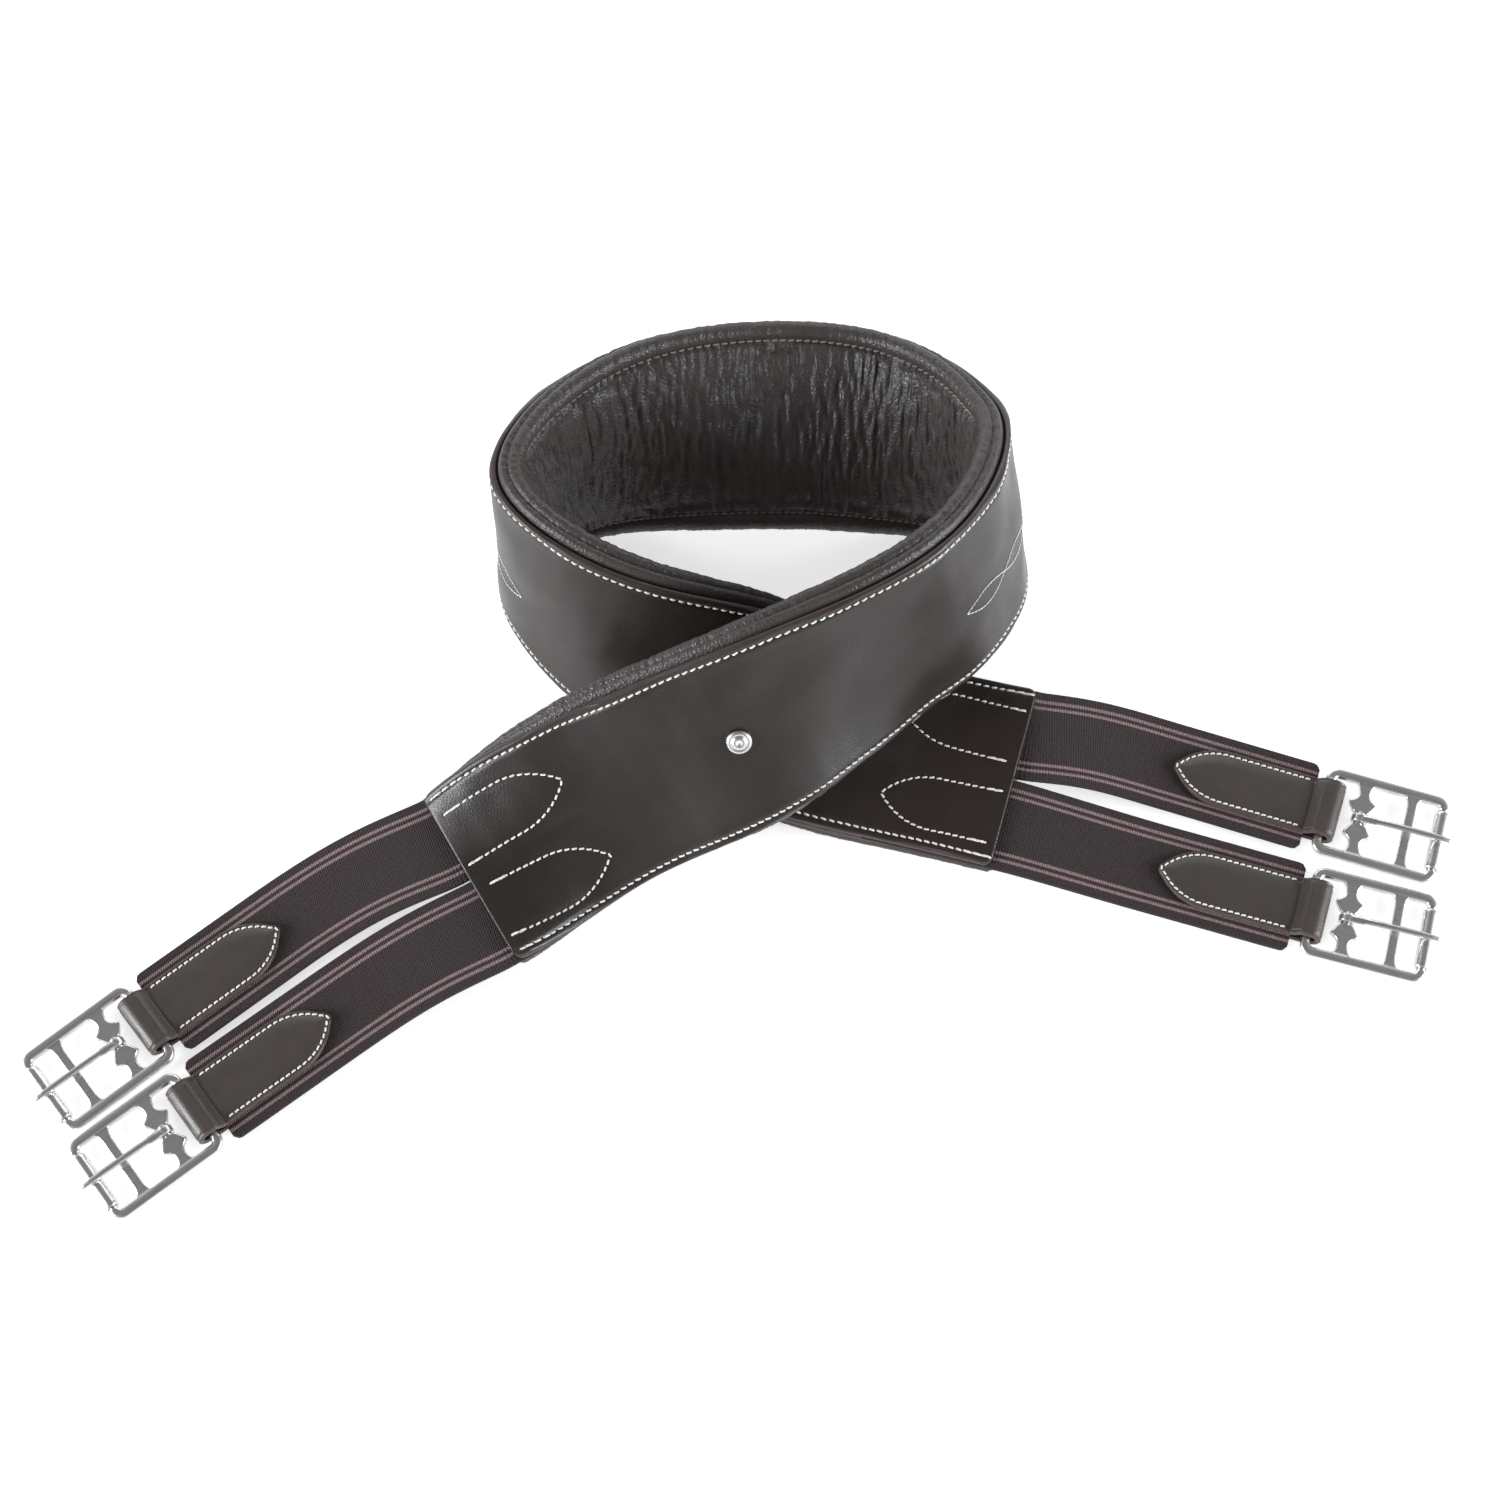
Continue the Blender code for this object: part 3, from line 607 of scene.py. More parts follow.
def stitch_mesh(name, groups):
    """One mesh of many stitches."""
    vertices, polygons, flats = [], [], []
    offset = 0
    for points, flat in groups:
        count, rows, columns = points.shape[:3]
        index = np.arange(rows * columns).reshape(rows, columns)
        wide = np.hstack([index, index[:, :1]])
        quads = np.stack([wide[:-1, :-1], wide[1:, :-1], wide[1:, 1:], wide[:-1, 1:]], -1)
        quads = quads.reshape(-1, 4)
        starts = offset + rows * columns * np.arange(count)
        polygons += (quads[None] + starts[:, None, None]).reshape(-1, 4).tolist()
        caps = np.stack([index[0], index[-1][::-1]])
        polygons += (caps[None] + starts[:, None, None]).reshape(-1, columns).tolist()
        vertices.append(points.reshape(-1, 3))
        flats.append(flat.reshape(-1, 2))
        offset += count * rows * columns
    vertices = np.vstack(vertices)
    mesh = bpy.data.meshes.new(name)
    mesh.from_pydata(vertices.tolist(), [], polygons)
    layer = mesh.uv_layers.new(name="surface")
    corner = np.zeros(len(mesh.loops), np.int32)
    mesh.loops.foreach_get("vertex_index", corner)
    layer.data.foreach_set("uv", np.vstack(flats)[corner].astype(np.float32).ravel())
    shade_smooth(mesh)
    return mesh


def evenly(points, pitch, start=0.5):
    """Places a stitch apart along a line of flat points, with its direction at each."""
    reach = travelled(points)
    count = max(1, int(reach[-1] / pitch))
    places = (np.arange(count) + start) * reach[-1] / count
    near, spot, far = (
        np.stack([np.interp(places + shift, reach, column) for column in points.T], -1)
        for shift in (-0.4 * MM, 0, 0.4 * MM)
    )
    return spot, unit(far - near), reach[-1] / count


# ---------------------------------------------------------------- outer cover


def arch_line(base, tip, half):
    """Flat outline (s, v) of a pointed arch, from one foot round its tip to the other."""
    base, tip = np.array(base, float), np.array(tip, float)
    axis = unit(tip - base)
    side = np.array((-axis[1], axis[0]))
    reach = np.linalg.norm(tip - base)
    t = np.linspace(0, 1, 60)
    round_off = np.clip((t - 0.5) / 0.5, 0, 1)
    width = half * (1 - round_off**2.1) ** 0.9
    middle = base + axis * (t * reach)[:, None]
    edge = middle + side * width[:, None]
    back = middle - side * width[:, None]
    return np.vstack([edge, back[::-1][1:]]) * MM


L_MM = BAND_LENGTH / MM
ARCHES = [
    arch_line((4, 16.8), (54.5, 16.4), 11.9),
    arch_line((5, -18.5), (55.5, -22.3), 12),
    arch_line((L_MM - 4, 17.6), (L_MM - 54, 19.5), 12),
    arch_line((L_MM - 4, -19.8), (L_MM - 53.5, -20.8), 11.9),
]


def nearest(s, v, line):
    """Distance from each flat point to a line of points."""
    gap = np.hypot(s[..., None] - line[:, 0], v[..., None] - line[:, 1])
    return gap.min(-1)


def cover_relief(s, v):
    """Height of the worked leather over its plain face."""
    s, v = np.broadcast_arrays(np.asarray(s, float), np.asarray(v, float))
    relief = -0.38 * MM * dip(np.abs(v) - SEAM_V, 0.75 * MM)
    relief = relief + 0.12 * MM * dip(np.abs(v) - SEAM_V + 2.2 * MM, 1.4 * MM)
    relief = relief + 0.55 * MM * wander(s, v, 62 * MM, 55 * MM, 4)
    relief = relief + 0.12 * MM * wander(s, v, 20 * MM, 30 * MM, 9)
    relief = relief - 0.5 * MM * dip(np.hypot(s - STUD_S, v), 8 * MM)
    end = from_end(s)
    near = end < 62 * MM
    worked = np.zeros_like(relief)
    for line in ARCHES:
        gap = nearest(s[near], v[near], line)
        worked[near] += -0.32 * MM * dip(gap, 0.8 * MM)
    over = np.abs(np.abs(v) - ELASTIC_OFFSET)
    pocket = smooth_step(over, 20.5 * MM, 17.5 * MM) * smooth_step(end, 60 * MM, 48 * MM)
    return relief + worked + 0.35 * MM * pocket


def cover_columns():
    """Stations across the top of the cover, closer together at the seams."""
    middle = np.linspace(-35, 35, 50)
    seam = np.array([35.7, 36.3, 36.8, 37.2, 37.5, 37.8, 38.2, 38.7, 39.3, 39.9])
    return np.concatenate([-seam[::-1], middle, seam]) * MM


def cover_rows():
    """Stations along the cover, closer together at its rounded ends."""
    ends = np.array([0, 0.12, 0.35, 0.7, 1.1, 1.6, 2.2, 3, 4, 5]) * MM
    count = int((BAND_LENGTH - 12 * MM) / (1.5 * MM))
    middle = np.linspace(6 * MM, BAND_LENGTH - 6 * MM, count)
    return np.concatenate([ends, middle, BAND_LENGTH - ends[::-1]])


def outer_cover():
    """Cover strip with rounded rims and corners, thinned to an eased lip at its ends."""
    top = cover_columns()
    s = cover_rows()[:, None]
    turn = np.linspace(math.pi / 2, -math.pi / 2, 9)[1:-1]
    rim = 1.15 * MM
    side_v = COVER_HALF - rim + rim * np.cos(turn)
    side_n = -COVER_THICK / 2 + (COVER_THICK / 2 - 0.1 * MM) * np.sin(turn)
    under = np.linspace(39.2 * MM, -39.2 * MM, 12)
    v = np.concatenate([top, side_v, under, -side_v[::-1]])
    flat_n = np.concatenate([np.zeros_like(top), side_n, np.full(12, -COVER_THICK), side_n[::-1]])
    on_top = np.concatenate([np.ones_like(top), np.zeros(len(v) - len(top))])
    end = from_end(s)
    inside = np.clip(CORNER_RADIUS - end, 0, None)
    inset = CORNER_RADIUS - np.sqrt(CORNER_RADIUS**2 - inside**2)
    wide = v * (1 - inset / COVER_HALF)
    ease = 0.9 * MM
    lip = np.clip(ease - end, 0, None)
    squeeze = 1 - (ease - np.sqrt(ease**2 - lip**2)) / (COVER_THICK / 2)
    n = flat_n + on_top * cover_relief(s, wide)
    n = -COVER_THICK / 2 + (n + COVER_THICK / 2) * squeeze
    mesh = skin("leather_cover", bent(s, wide, n), ring_surface(s, wide))
    fitted("leather_cover", mesh, COVER_LEATHER, "leather", "band", "outer_cover")


def on_cover(line, pitch, length, radius, slant, start=0.5, lift=0.0):
    """Stitches along a flat line on the cover."""
    spot, way, step = evenly(line, pitch, start)
    s, v = spot.T
    centre = bent(s, v, cover_relief(s, v))
    _, forward, across, outward = band_axes(s)
    ways = unit(forward * way[:, :1] + across * way[:, 1:])
    return stitches(centre, ways, outward, length * step / pitch, radius, slant, lift)


def cover_stitching():
    """Seam along each edge and the four arches, with heavier tacks at their ends."""
    groups = []
    reach = np.linspace(2.5 * MM, BAND_LENGTH - 2.5 * MM, 400)
    for side in (1, -1):
        line = np.stack([reach, np.full_like(reach, side * SEAM_V)], -1)
        groups.append(on_cover(line, STITCH_PITCH, 2.9 * MM, 0.46 * MM, side * 0.16))
        for tack in (line[reach < 17 * MM], line[reach > BAND_LENGTH - 17 * MM]):
            groups.append(on_cover(tack, STITCH_PITCH, 3.3 * MM, 0.5 * MM, side * 0.1, 1.0, 0.25 * MM))
    for line in ARCHES:
        groups.append(on_cover(line, 3.1 * MM, 2.6 * MM, 0.44 * MM, 0.16))
        for tack in (line[:9], line[-9:]):
            groups.append(on_cover(tack, 3.1 * MM, 3.1 * MM, 0.5 * MM, 0.1, 0.9, 0.25 * MM))
    mesh = stitch_mesh("cover_stitching", groups)
    fitted("cover_stitching", mesh, THREAD, "leather", "band")


def ornament():
    """Thin chain of stitched lenses round the part of the cover that faces away."""
    groups = []
    first, last, lenses = 241 * MM, 620 * MM, 13
    s = np.linspace(first, last, 900)
    share = (s - first) / (last - first)
    middle = (-5 - 5 * share) * MM
    swing = 4.3 * MM * np.sin(math.pi * lenses * share)
    for side in (1, -1):
        line = np.stack([s, middle + side * swing], -1)
        groups.append(on_cover(line, 2.1 * MM, 2.05 * MM, 0.24 * MM, 0.05, 0.5, 0.03 * MM))
    mesh = stitch_mesh("ornament_stitching", groups)
    fitted("ornament_stitching", mesh, THREAD, "leather", "band")


def core_webbing():
    """Woven strength layer under the cover, between the two pairs of pockets."""
    columns = np.linspace(-40, 40, 34) * MM
    start = POCKET_LENGTH + 2 * MM
    s = np.linspace(start, BAND_LENGTH - start, 300)[:, None]
    v = np.concatenate([columns, columns[::-1]])
    n = np.repeat([WEBBING_TOP, WEBBING_TOP - STRAP_THICK], len(columns))
    mesh = skin("woven_core", bent(s, v, n), ring_surface(s, v))
    fitted("woven_core", mesh, CORE_WEAVE, "webbing", "band", "core_webbing")


# ---------------------------------------------------------------- padded lining

LINING_ROWS = 1500
PANEL_COLUMNS = 33
PANEL_ROWS = 500
PANEL_FLOOR = -16.35 * MM
SEAM_DEPTH = -12.7 * MM
HIDDEN_TOP = -5.65 * MM

# Cloth simulation of the panel: how much larger than life it is, how much larger than its
# place the leather is, how firmly the foam holds it, and how long it settles.
CLOTH_SCALE = 10
CLOTH_SPARE = 0.055
CLOTH_HOLD = 0.27
CLOTH_FRAMES = 24


def panel_crown(v):
    """Depth of the puffed middle panel at each v, before it wrinkles."""
    share = np.clip(np.abs(v) / SEAM_V, 0, 1)
    return SEAM_DEPTH + (PANEL_FLOOR - SEAM_DEPTH) * (1 - share**3.2) ** 0.6


def gathered_panel():
    """Flat offsets (along, over, out) of the panel after cloth simulation.

    The leather is a little larger than the foam that it is sewn over, and the foam holds it
    from below like many weak springs. Sideways and outward offsets are then toned down.
    """
    s = np.linspace(0, BAND_LENGTH, PANEL_ROWS)[:, None]
    v = np.linspace(-SEAM_V, SEAM_V, PANEL_COLUMNS)
    rest_s, rest_v = np.broadcast_arrays(s, v)
    jitter = 0.12 * MM * wander(rest_s, rest_v, 9 * MM, 60 * MM, 21)
    start = np.stack([rest_s, rest_v, -panel_crown(rest_v) + jitter], -1) * CLOTH_SCALE
    mesh = skin("panel_cloth", start, closed=False)
    cloth = bpy.data.objects.new("panel_cloth", mesh)
    scene = bpy.context.scene
    scene.collection.objects.link(cloth)
    pin = cloth.vertex_groups.new(name="held")
    sewn = (np.abs(rest_v) > SEAM_V - 0.1 * MM) | (from_end(rest_s) < 0.1 * MM)
    fixed = sewn.ravel()
    pin.add(np.flatnonzero(fixed).tolist(), 1.0, "REPLACE")
    pin.add(np.flatnonzero(~fixed).tolist(), CLOTH_HOLD, "REPLACE")
    settings = cloth.modifiers.new("gather", "CLOTH").settings
    settings.quality = 6
    settings.mass = 0.02
    settings.tension_stiffness = 60
    settings.compression_stiffness = 60
    settings.shear_stiffness = 8
    settings.bending_stiffness = 0.02
    settings.bending_model = "ANGULAR"
    settings.air_damping = 1
    settings.vertex_group_mass = "held"
    settings.pin_stiffness = 1
    settings.shrink_min = -CLOTH_SPARE
    settings.shrink_max = -CLOTH_SPARE
    settings.use_pressure = True
    settings.uniform_pressure_force = 1
    settings.effector_weights.gravity = 0
    cloth.modifiers["gather"].collision_settings.use_collision = False
    for step in range(1, CLOTH_FRAMES + 1):
        scene.frame_set(step)
    settled = cloth.evaluated_get(bpy.context.evaluated_depsgraph_get()).to_mesh()
    points = np.empty(len(settled.vertices) * 3, np.float32)
    settled.vertices.foreach_get("co", points)
    bpy.data.objects.remove(cloth)
    scene.frame_set(1)
    moved = (points.reshape(PANEL_ROWS, PANEL_COLUMNS, 3) - start) / CLOTH_SCALE
    moved[..., 2] = 1.2 * MM * np.tanh(moved[..., 2] / (1.4 * MM))
    return moved * (1, 0.4, 1)


def resample(grid, places):
    """Rows of a grid at fractional places, along smooth curves."""
    left = np.clip(places.astype(int), 0, len(grid) - 2)
    share = (places - left)[:, None, None]
    near, far = grid[left], grid[left + 1]
    before, after = grid[np.maximum(left - 1, 0)], grid[np.minimum(left + 2, len(grid) - 1)]
    slope_a, slope_b = (far - before) / 2, (after - near) / 2
    cube = 2 * near - 2 * far + slope_a + slope_b
    square = -3 * near + 3 * far - 2 * slope_a - slope_b
    return ((cube * share + square) * share + slope_a) * share + near


def wrinkles(s, v):
    """Fine creases that mostly run across the band and come and go along it."""
    total = 0
    slant = 0.35 * wander(s, v * 0, 70 * MM, 1, 31)
    for k, size in enumerate((3.3, 4.4, 5.6, 7.3)):
        bend = 3.2 * MM * wander(s, v, 34 * MM, 30 * MM, 40 + k)
        wave = np.abs(np.sin(math.pi * (s + bend + slant * v) / (size * MM)))
        shown = 0.25 + 0.75 * smooth_step(wander(s, v, 38 * MM, 30 * MM, 60 + k), -0.7, 0.4)
        total = total + shown * (1 - wave) ** 1.4 * size / 5
    return total


def roll_section():
    """Section (v, n) of one rolled edge, from the panel's seam round to the cover."""
    edge = [(38, -12.75), (38.7, -13.2), (39.7, -13.75), (41, -14.05), (42.4, -13.9)]
    edge += [(43.8, -13.3), (44.9, -12.3), (45.6, -11), (45.75, -9.7), (45.3, -8.5)]
    edge += [(44.5, -7.75), (43.9, -7.35), (44, -6.7), (44.35, -5.9), (44.2, -5)]
    edge += [(43.5, -4.2), (42.6, -3.7), (41.6, -3.4), (40.6, -3.25)]
    return np.array(edge) * MM


def thinned(end, v, n):
    """Padding drawn in towards the ends of the band, sooner along its lower edge."""
    low = 1 - smooth_step(end, 20 * MM, 170 * MM)
    high = 1 - smooth_step(end, 0, 90 * MM)
    share = np.where(v < 0, low, high)
    beyond = np.clip(np.abs(v) - 38 * MM, 0, None)
    v = v - np.sign(v) * beyond * 0.55 * share
    flatter = 1 - 0.42 * share * smooth_step(np.abs(v), 25 * MM, 37 * MM)
    return v, np.where(n < HIDDEN_TOP, HIDDEN_TOP + (n - HIDDEN_TOP) * flatter, n)


def padded_lining():
    """Closed skin: puffed panel, sewn grooves, rolled edges and the hidden top."""
    panel_v = np.linspace(-SEAM_V, SEAM_V, PANEL_COLUMNS)
    moved = resample(gathered_panel(), np.linspace(0, PANEL_ROWS - 1.001, LINING_ROWS))
    s = np.linspace(0.3 * MM, BAND_LENGTH - 0.3 * MM, LINING_ROWS)[:, None]
    roll = roll_section()
    mirror = (roll * (-1, 1))[::-1]
    hidden_v = np.array([39.5, 38, 20, 0, -20, -38, -39.5]) * MM
    hidden_n = np.array([-3.3 * MM, *[HIDDEN_TOP] * 5, -3.3 * MM])
    v = np.concatenate([panel_v, roll[:, 0], hidden_v, mirror[:, 0]])
    n = np.concatenate([panel_crown(panel_v), roll[:, 1], hidden_n, mirror[:, 1]])
    flat_s, flat_v, flat_n = (grid.copy() for grid in np.broadcast_arrays(s, v, n))
    count = PANEL_COLUMNS
    soft = smooth_step(np.abs(panel_v), SEAM_V, SEAM_V - 2.5 * MM)
    crease = wrinkles(flat_s[:, :count], flat_v[:, :count])
    flat_s[:, :count] += moved[..., 0]
    flat_v[:, :count] += moved[..., 1]
    flat_n[:, :count] += -moved[..., 2] + 0.5 * MM * crease * soft
    for first in (count, count + len(roll) + len(hidden_v)):
        here = slice(first, first + len(roll))
        out = v[here] - np.sign(v[here]) * 40.5 * MM
        down = n[here] + 9 * MM
        away = unit(np.stack([out, down], -1))
        far = smooth_step(n[here], -3.4 * MM, -5 * MM)
        far = far * smooth_step(np.abs(v[here]), 38 * MM, 40 * MM)
        pinch = wander(s, v[here] * 0.5, 5.5 * MM, 30 * MM, 80 + first)
        pinch = 0.16 * MM * pinch + 0.12 * MM * wander(s, v[here], 2.2 * MM, 18 * MM, 90 + first)
        flat_v[:, here] += away[:, 0] * pinch * far
        flat_n[:, here] += away[:, 1] * pinch * far
    holes = 0.5 + 0.5 * np.cos(2 * math.pi * s / STITCH_PITCH)
    flat_n += 0.45 * MM * holes * dip(np.abs(flat_v) - SEAM_V, 0.9 * MM) * (flat_n < -9 * MM)
    end = from_end(s)
    flat_v, flat_n = thinned(end, flat_v, flat_n)
    ease = 2.5 * MM
    tuck = np.clip(ease - end, 0, None)
    pull = (ease - np.sqrt(ease**2 - tuck**2)) / (8 * MM)
    flat_n += (HIDDEN_TOP - flat_n) * pull * (flat_n < HIDDEN_TOP)
    flat_v *= 1 - 0.25 * pull * (np.abs(flat_v) > 40 * MM)
    points = bent(flat_s, flat_v, flat_n)
    surface = ring_surface(s, travelled(np.stack([v, n], -1)))
    mesh = skin("lining_pad", points, surface)
    nodes = ("padded_lining", "foam_core", "upper_edge_roll", "lower_edge_roll")
    made = fitted("lining_pad", mesh, LINING_LEATHER, "lining", "band", *nodes)


def lining_stitching():
    """Seam at the foot of each groove, one stitch between each pair of holes."""
    count = int(BAND_LENGTH / STITCH_PITCH) - 1
    s = (np.arange(count) + 0.5) * STITCH_PITCH
    _, forward, _, outward = band_axes(s)
    groups = []
    for side in (1, -1):
        v = np.full(count, side * (SEAM_V + 0.15 * MM))
        over, depth = thinned(from_end(s), v, np.full(count, SEAM_DEPTH))
        centre = bent(s, over, depth - 0.05 * MM)
        groups.append(stitches(centre, forward, -outward, 2.9 * MM, 0.42 * MM, 0.12))
    mesh = stitch_mesh("lining_stitching", groups)
    fitted("lining_stitching", mesh, LINING_THREAD, "lining", "band")


# ---------------------------------------------------------------- elastic straps


def heading_axes(heading):
    """Level direction of a heading in degrees, and up."""
    angle = math.radians(heading)
    outward = np.array((math.cos(angle), math.sin(angle), 0))
    return outward, np.array((0, 0, 1.0))


def bar_place(strap):
    """Middle of the strap's rear bar."""
    x, y = strap.x - LAYOUT_CENTRE[0], strap.y - LAYOUT_CENTRE[1]
    return np.array((x * MM, y * MM, FOLD_OUTER))


def strap_frames(strap):
    """Middle, direction and face direction along the elastic, and where it leaves the band."""
    s = np.linspace(POCKET_LENGTH, 0, 16)
    if strap.end == "right":
        s = BAND_LENGTH - s
    centre, forward, across, outward = band_axes(s)
    along = -forward if strap.end == "left" else forward
    depth = WEBBING_TOP - STRAP_THICK / 2
    middle = centre + across * strap.side * ELASTIC_OFFSET + outward * depth
    away, up = heading_axes(strap.heading)
    level = bar_place(strap) + up * (STRAP_THICK / 2 + 0.15 * MM - FOLD_RADIUS)
    touch = level - away * FLAT_LENGTH
    mouth, way, normal = middle[-1], along[-1], outward[-1]
    reach = np.linalg.norm(touch - mouth)
    t = np.linspace(0, 1, 40)[1:, None]
    pull = reach * MOUTH_PULL
    free = (2 * t**3 - 3 * t**2 + 1) * mouth + (t**3 - 2 * t**2 + t) * pull * way
    free = free + (-2 * t**3 + 3 * t**2) * touch + (t**3 - t**2) * reach * away
    slope = (6 * t**2 - 6 * t) * mouth + (3 * t**2 - 4 * t + 1) * pull * way
    slope = slope + (-6 * t**2 + 6 * t) * touch + (3 * t**2 - 2 * t) * reach * away
    back = np.array((-away[1], away[0], 0)) * math.copysign(1, away[0])
    swell = (up + back) * MM
    free = free + swell * strap.hump * np.sin(math.pi * t) ** 2
    slope = slope + swell * math.pi * strap.hump * np.sin(2 * math.pi * t)
    run = np.linspace(0, FLAT_LENGTH - ELASTIC_END, 40)[1:, None]
    places = np.vstack([middle, free, touch + away * run])
    ways = unit(np.vstack([along, slope, np.broadcast_to(away, (len(run), 3))]))
    faces = np.vstack([outward, normal * (1 - t) + up * t, np.broadcast_to(up, (len(run), 3))])
    return places, ways, faces, mouth, touch


def elastic_section():
    """Ring (y, z) of the webbing, with raised stripe cords and a firm edge."""
    y = np.hstack([np.linspace(*part, 22) for part in ((-19.7, -11.5), (-10.5, 10.5), (11.5, 19.7))])
    edge = 20.5 - np.abs(y)
    raised = 0.1 * (dip(edge - 4.5, 0.6) + dip(edge - 7.4, 0.6))
    raised = raised + 0.03 * np.cos(2 * math.pi * y / 1.8)
    top = np.stack([y, 1.1 + raised], -1)
    turn = np.linspace(math.pi / 2, -math.pi / 2, 7)[1:-1]
    side = np.stack([19.7 + 0.8 * np.cos(turn), 1.1 * np.sin(turn)], -1)
    ring = np.vstack([top, side, (top * (1, -1))[::-1], (side * (-1, 1))[::-1]])
    return ring * MM


def elastic(strap):
    """Strap from its pocket in the band to its rounded end between the leaves of the tab."""
    places, ways, faces, mouth, touch = strap_frames(strap)
    sideways = unit(np.cross(faces, ways))
    faces = np.cross(ways, sideways)
    ring = elastic_section()
    reach = travelled(places)
    corner = 3 * MM
    inset = corner - np.sqrt(corner**2 - np.clip(corner - (reach[-1] - reach), 0, corner) ** 2)
    inset = np.minimum(inset, 2.4 * MM)[:, None]
    y = ring[:, 0] * (1 - inset / ELASTIC_HALF)
    points = places[:, None] + sideways[:, None] * y[..., None] + faces[:, None] * ring[:, 1:]
    name = f"{strap.name}_webbing"
    made = piece(name, skin(name, points, ring_surface(reach[:, None], y)), ELASTIC_WEAVE)
    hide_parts(f"{strap.name}_elastic")
    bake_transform(made)


# ---------------------------------------------------------------- leather tabs


def fold_line():
    """Middle line of the folded tab, as (x, z) about the rear bar, from tip to tip."""
    radius = FOLD_RADIUS + TAB_THICK / 2
    upper = -FOLD_RADIUS + 0.3 * MM + STRAP_THICK + TAB_THICK / 2
    tip = FOLD_SLACK + FOLD_OUTER - TAB_LENGTH
    rounds = (1 - np.cos(np.linspace(0, math.pi / 2, 26))) * TAB_POINT
    x = np.concatenate([tip + rounds, np.linspace(tip + TAB_POINT + 2 * MM, -7 * MM, 22)])
    line = [np.stack([x, np.full_like(x, upper)], -1)]
    part = np.linspace(0, 1, 14)[1:]
    lift = smooth_step(part, 0, 1) - 0.1 * np.sin(2 * math.pi * part)
    line.append(np.stack([(-7 + 6.5 * part) * MM, upper + lift * (radius - upper)], -1))
    angle = math.pi / 2 - np.linspace(0, math.pi, 22)
    line.append(np.stack([FOLD_SLACK + radius * np.cos(angle), radius * np.sin(angle)], -1))
    back = x[::-1]
    line.append(np.stack([back, np.full_like(back, -radius)], -1))
    return np.vstack(line)


def tab_half_width(x):
    """Half width of the tab, drawn in to a point at its tips."""
    tip = FOLD_SLACK + FOLD_OUTER - TAB_LENGTH
    sweep = (TAB_POINT**2 + TAB_HALF**2) / (2 * TAB_HALF)
    left = TAB_POINT - np.clip(x - tip, 0, TAB_POINT)
    arch = np.sqrt(sweep**2 - left**2) - (sweep - TAB_HALF)
    return np.maximum(arch, 0.35 * MM) + 0.9 * MM * dip(x - tip - 0.6 * MM, 1.2 * MM)


def tab_frames():
    """Middle line of the tab, with its outward direction at each point."""
    line = fold_line()
    way = unit(np.gradient(line, axis=0))
    return line, np.stack([-way[:, 1], way[:, 0]], -1)


def tab_relief(x, y, half):
    """Height over the plain leaf: a stitched channel round a slightly puffed middle."""
    gap = half - np.abs(y)
    sewn = smooth_step(x, -5 * MM, -9 * MM)
    puff = (0.65 + 0.35 * dip(x + 50 * MM, 12 * MM)) * MM
    puff = puff * smooth_step(gap, 1.8 * MM, 8 * MM) * sewn
    crease = 0.5 * MM * dip(x + 7.2 * MM, 1.6 * MM)
    end_groove = 0.4 * MM * dip(gap - 1.5 * MM, 0.55 * MM) * (1 - sewn)
    return puff - 0.45 * MM * dip(gap - TAB_SEAM, 0.85 * MM) * sewn - crease - end_groove


def tab_mesh():
    """Both leaves and the fold of a tab in one skin, about its rear bar."""
    line, out = tab_frames()
    half = tab_half_width(line[:, 0])[:, None]
    share = np.hstack([np.linspace(*part, 12) for part in ((-0.97, -0.6), (-0.5, 0.5), (0.6, 0.97))])
    turn = np.linspace(math.pi / 2, -math.pi / 2, 8)[1:-1]
    rim = 0.9 * MM
    top_y = share * (half - 0.3 * rim)
    top_z = TAB_THICK / 2 + tab_relief(line[:, :1], top_y, half)
    top_z = top_z - 0.45 * MM * smooth_step(np.abs(top_y), half - 1.0 * MM, half)
    side_y = np.maximum(half - rim, 0) + np.minimum(rim, half) * np.cos(turn)
    side_z = np.broadcast_to(0.8 * TAB_THICK / 2 * np.sin(turn), side_y.shape)
    under_y = top_y[:, ::-1]
    under_z = np.full_like(under_y, -TAB_THICK / 2)
    y = np.hstack([top_y, side_y, under_y, -side_y[:, ::-1]])
    z = np.hstack([top_z, side_z, under_z, side_z[:, ::-1]])
    points = np.stack([line[:, :1] + out[:, :1] * z, y, line[:, 1:] + out[:, 1:] * z], -1)
    surface = ring_surface(travelled(line)[:, None], y / half * TAB_HALF)
    return skin("tab_leaf", points, surface)


def tab_stitches():
    """Row round the pointed end of both leaves, starting behind the elastic's end."""
    line, out = tab_frames()
    groups = []
    pitch = 2.75 * MM
    stop = -(ELASTIC_END + 2.5 * MM)
    middle = len(line) // 2
    for leaf in (slice(0, middle), slice(middle, len(line))):
        x, z = line[leaf].T
        keep = (x < stop) & (tab_half_width(x) > TAB_SEAM + 0.2 * MM)
        x, z, lift = x[keep], z[keep], out[leaf][keep][:, 1]
        order = np.argsort(-x)
        x, z, lift = x[order], z[order], lift[order]
        inner = tab_half_width(x) - TAB_SEAM
        track = np.vstack([np.stack([x, inner], -1), np.stack([x[::-1], -inner[::-1]], -1)])
        spot, aim, step = evenly(track, pitch)
        facing = np.sign(lift[0])
        level = z[0] + facing * (TAB_THICK / 2 - 0.3 * MM)
        centre = np.column_stack([spot, np.full(len(spot), level)])
        ways = np.column_stack([aim, np.zeros(len(spot))])
        normal = np.broadcast_to((0, 0, facing), centre.shape)
        length = 2.2 * MM * step / pitch
        groups.append(stitches(centre, ways, normal, length, 0.43 * MM, 0.14, 0.08 * MM))
    return stitch_mesh("tab_stitching", groups)


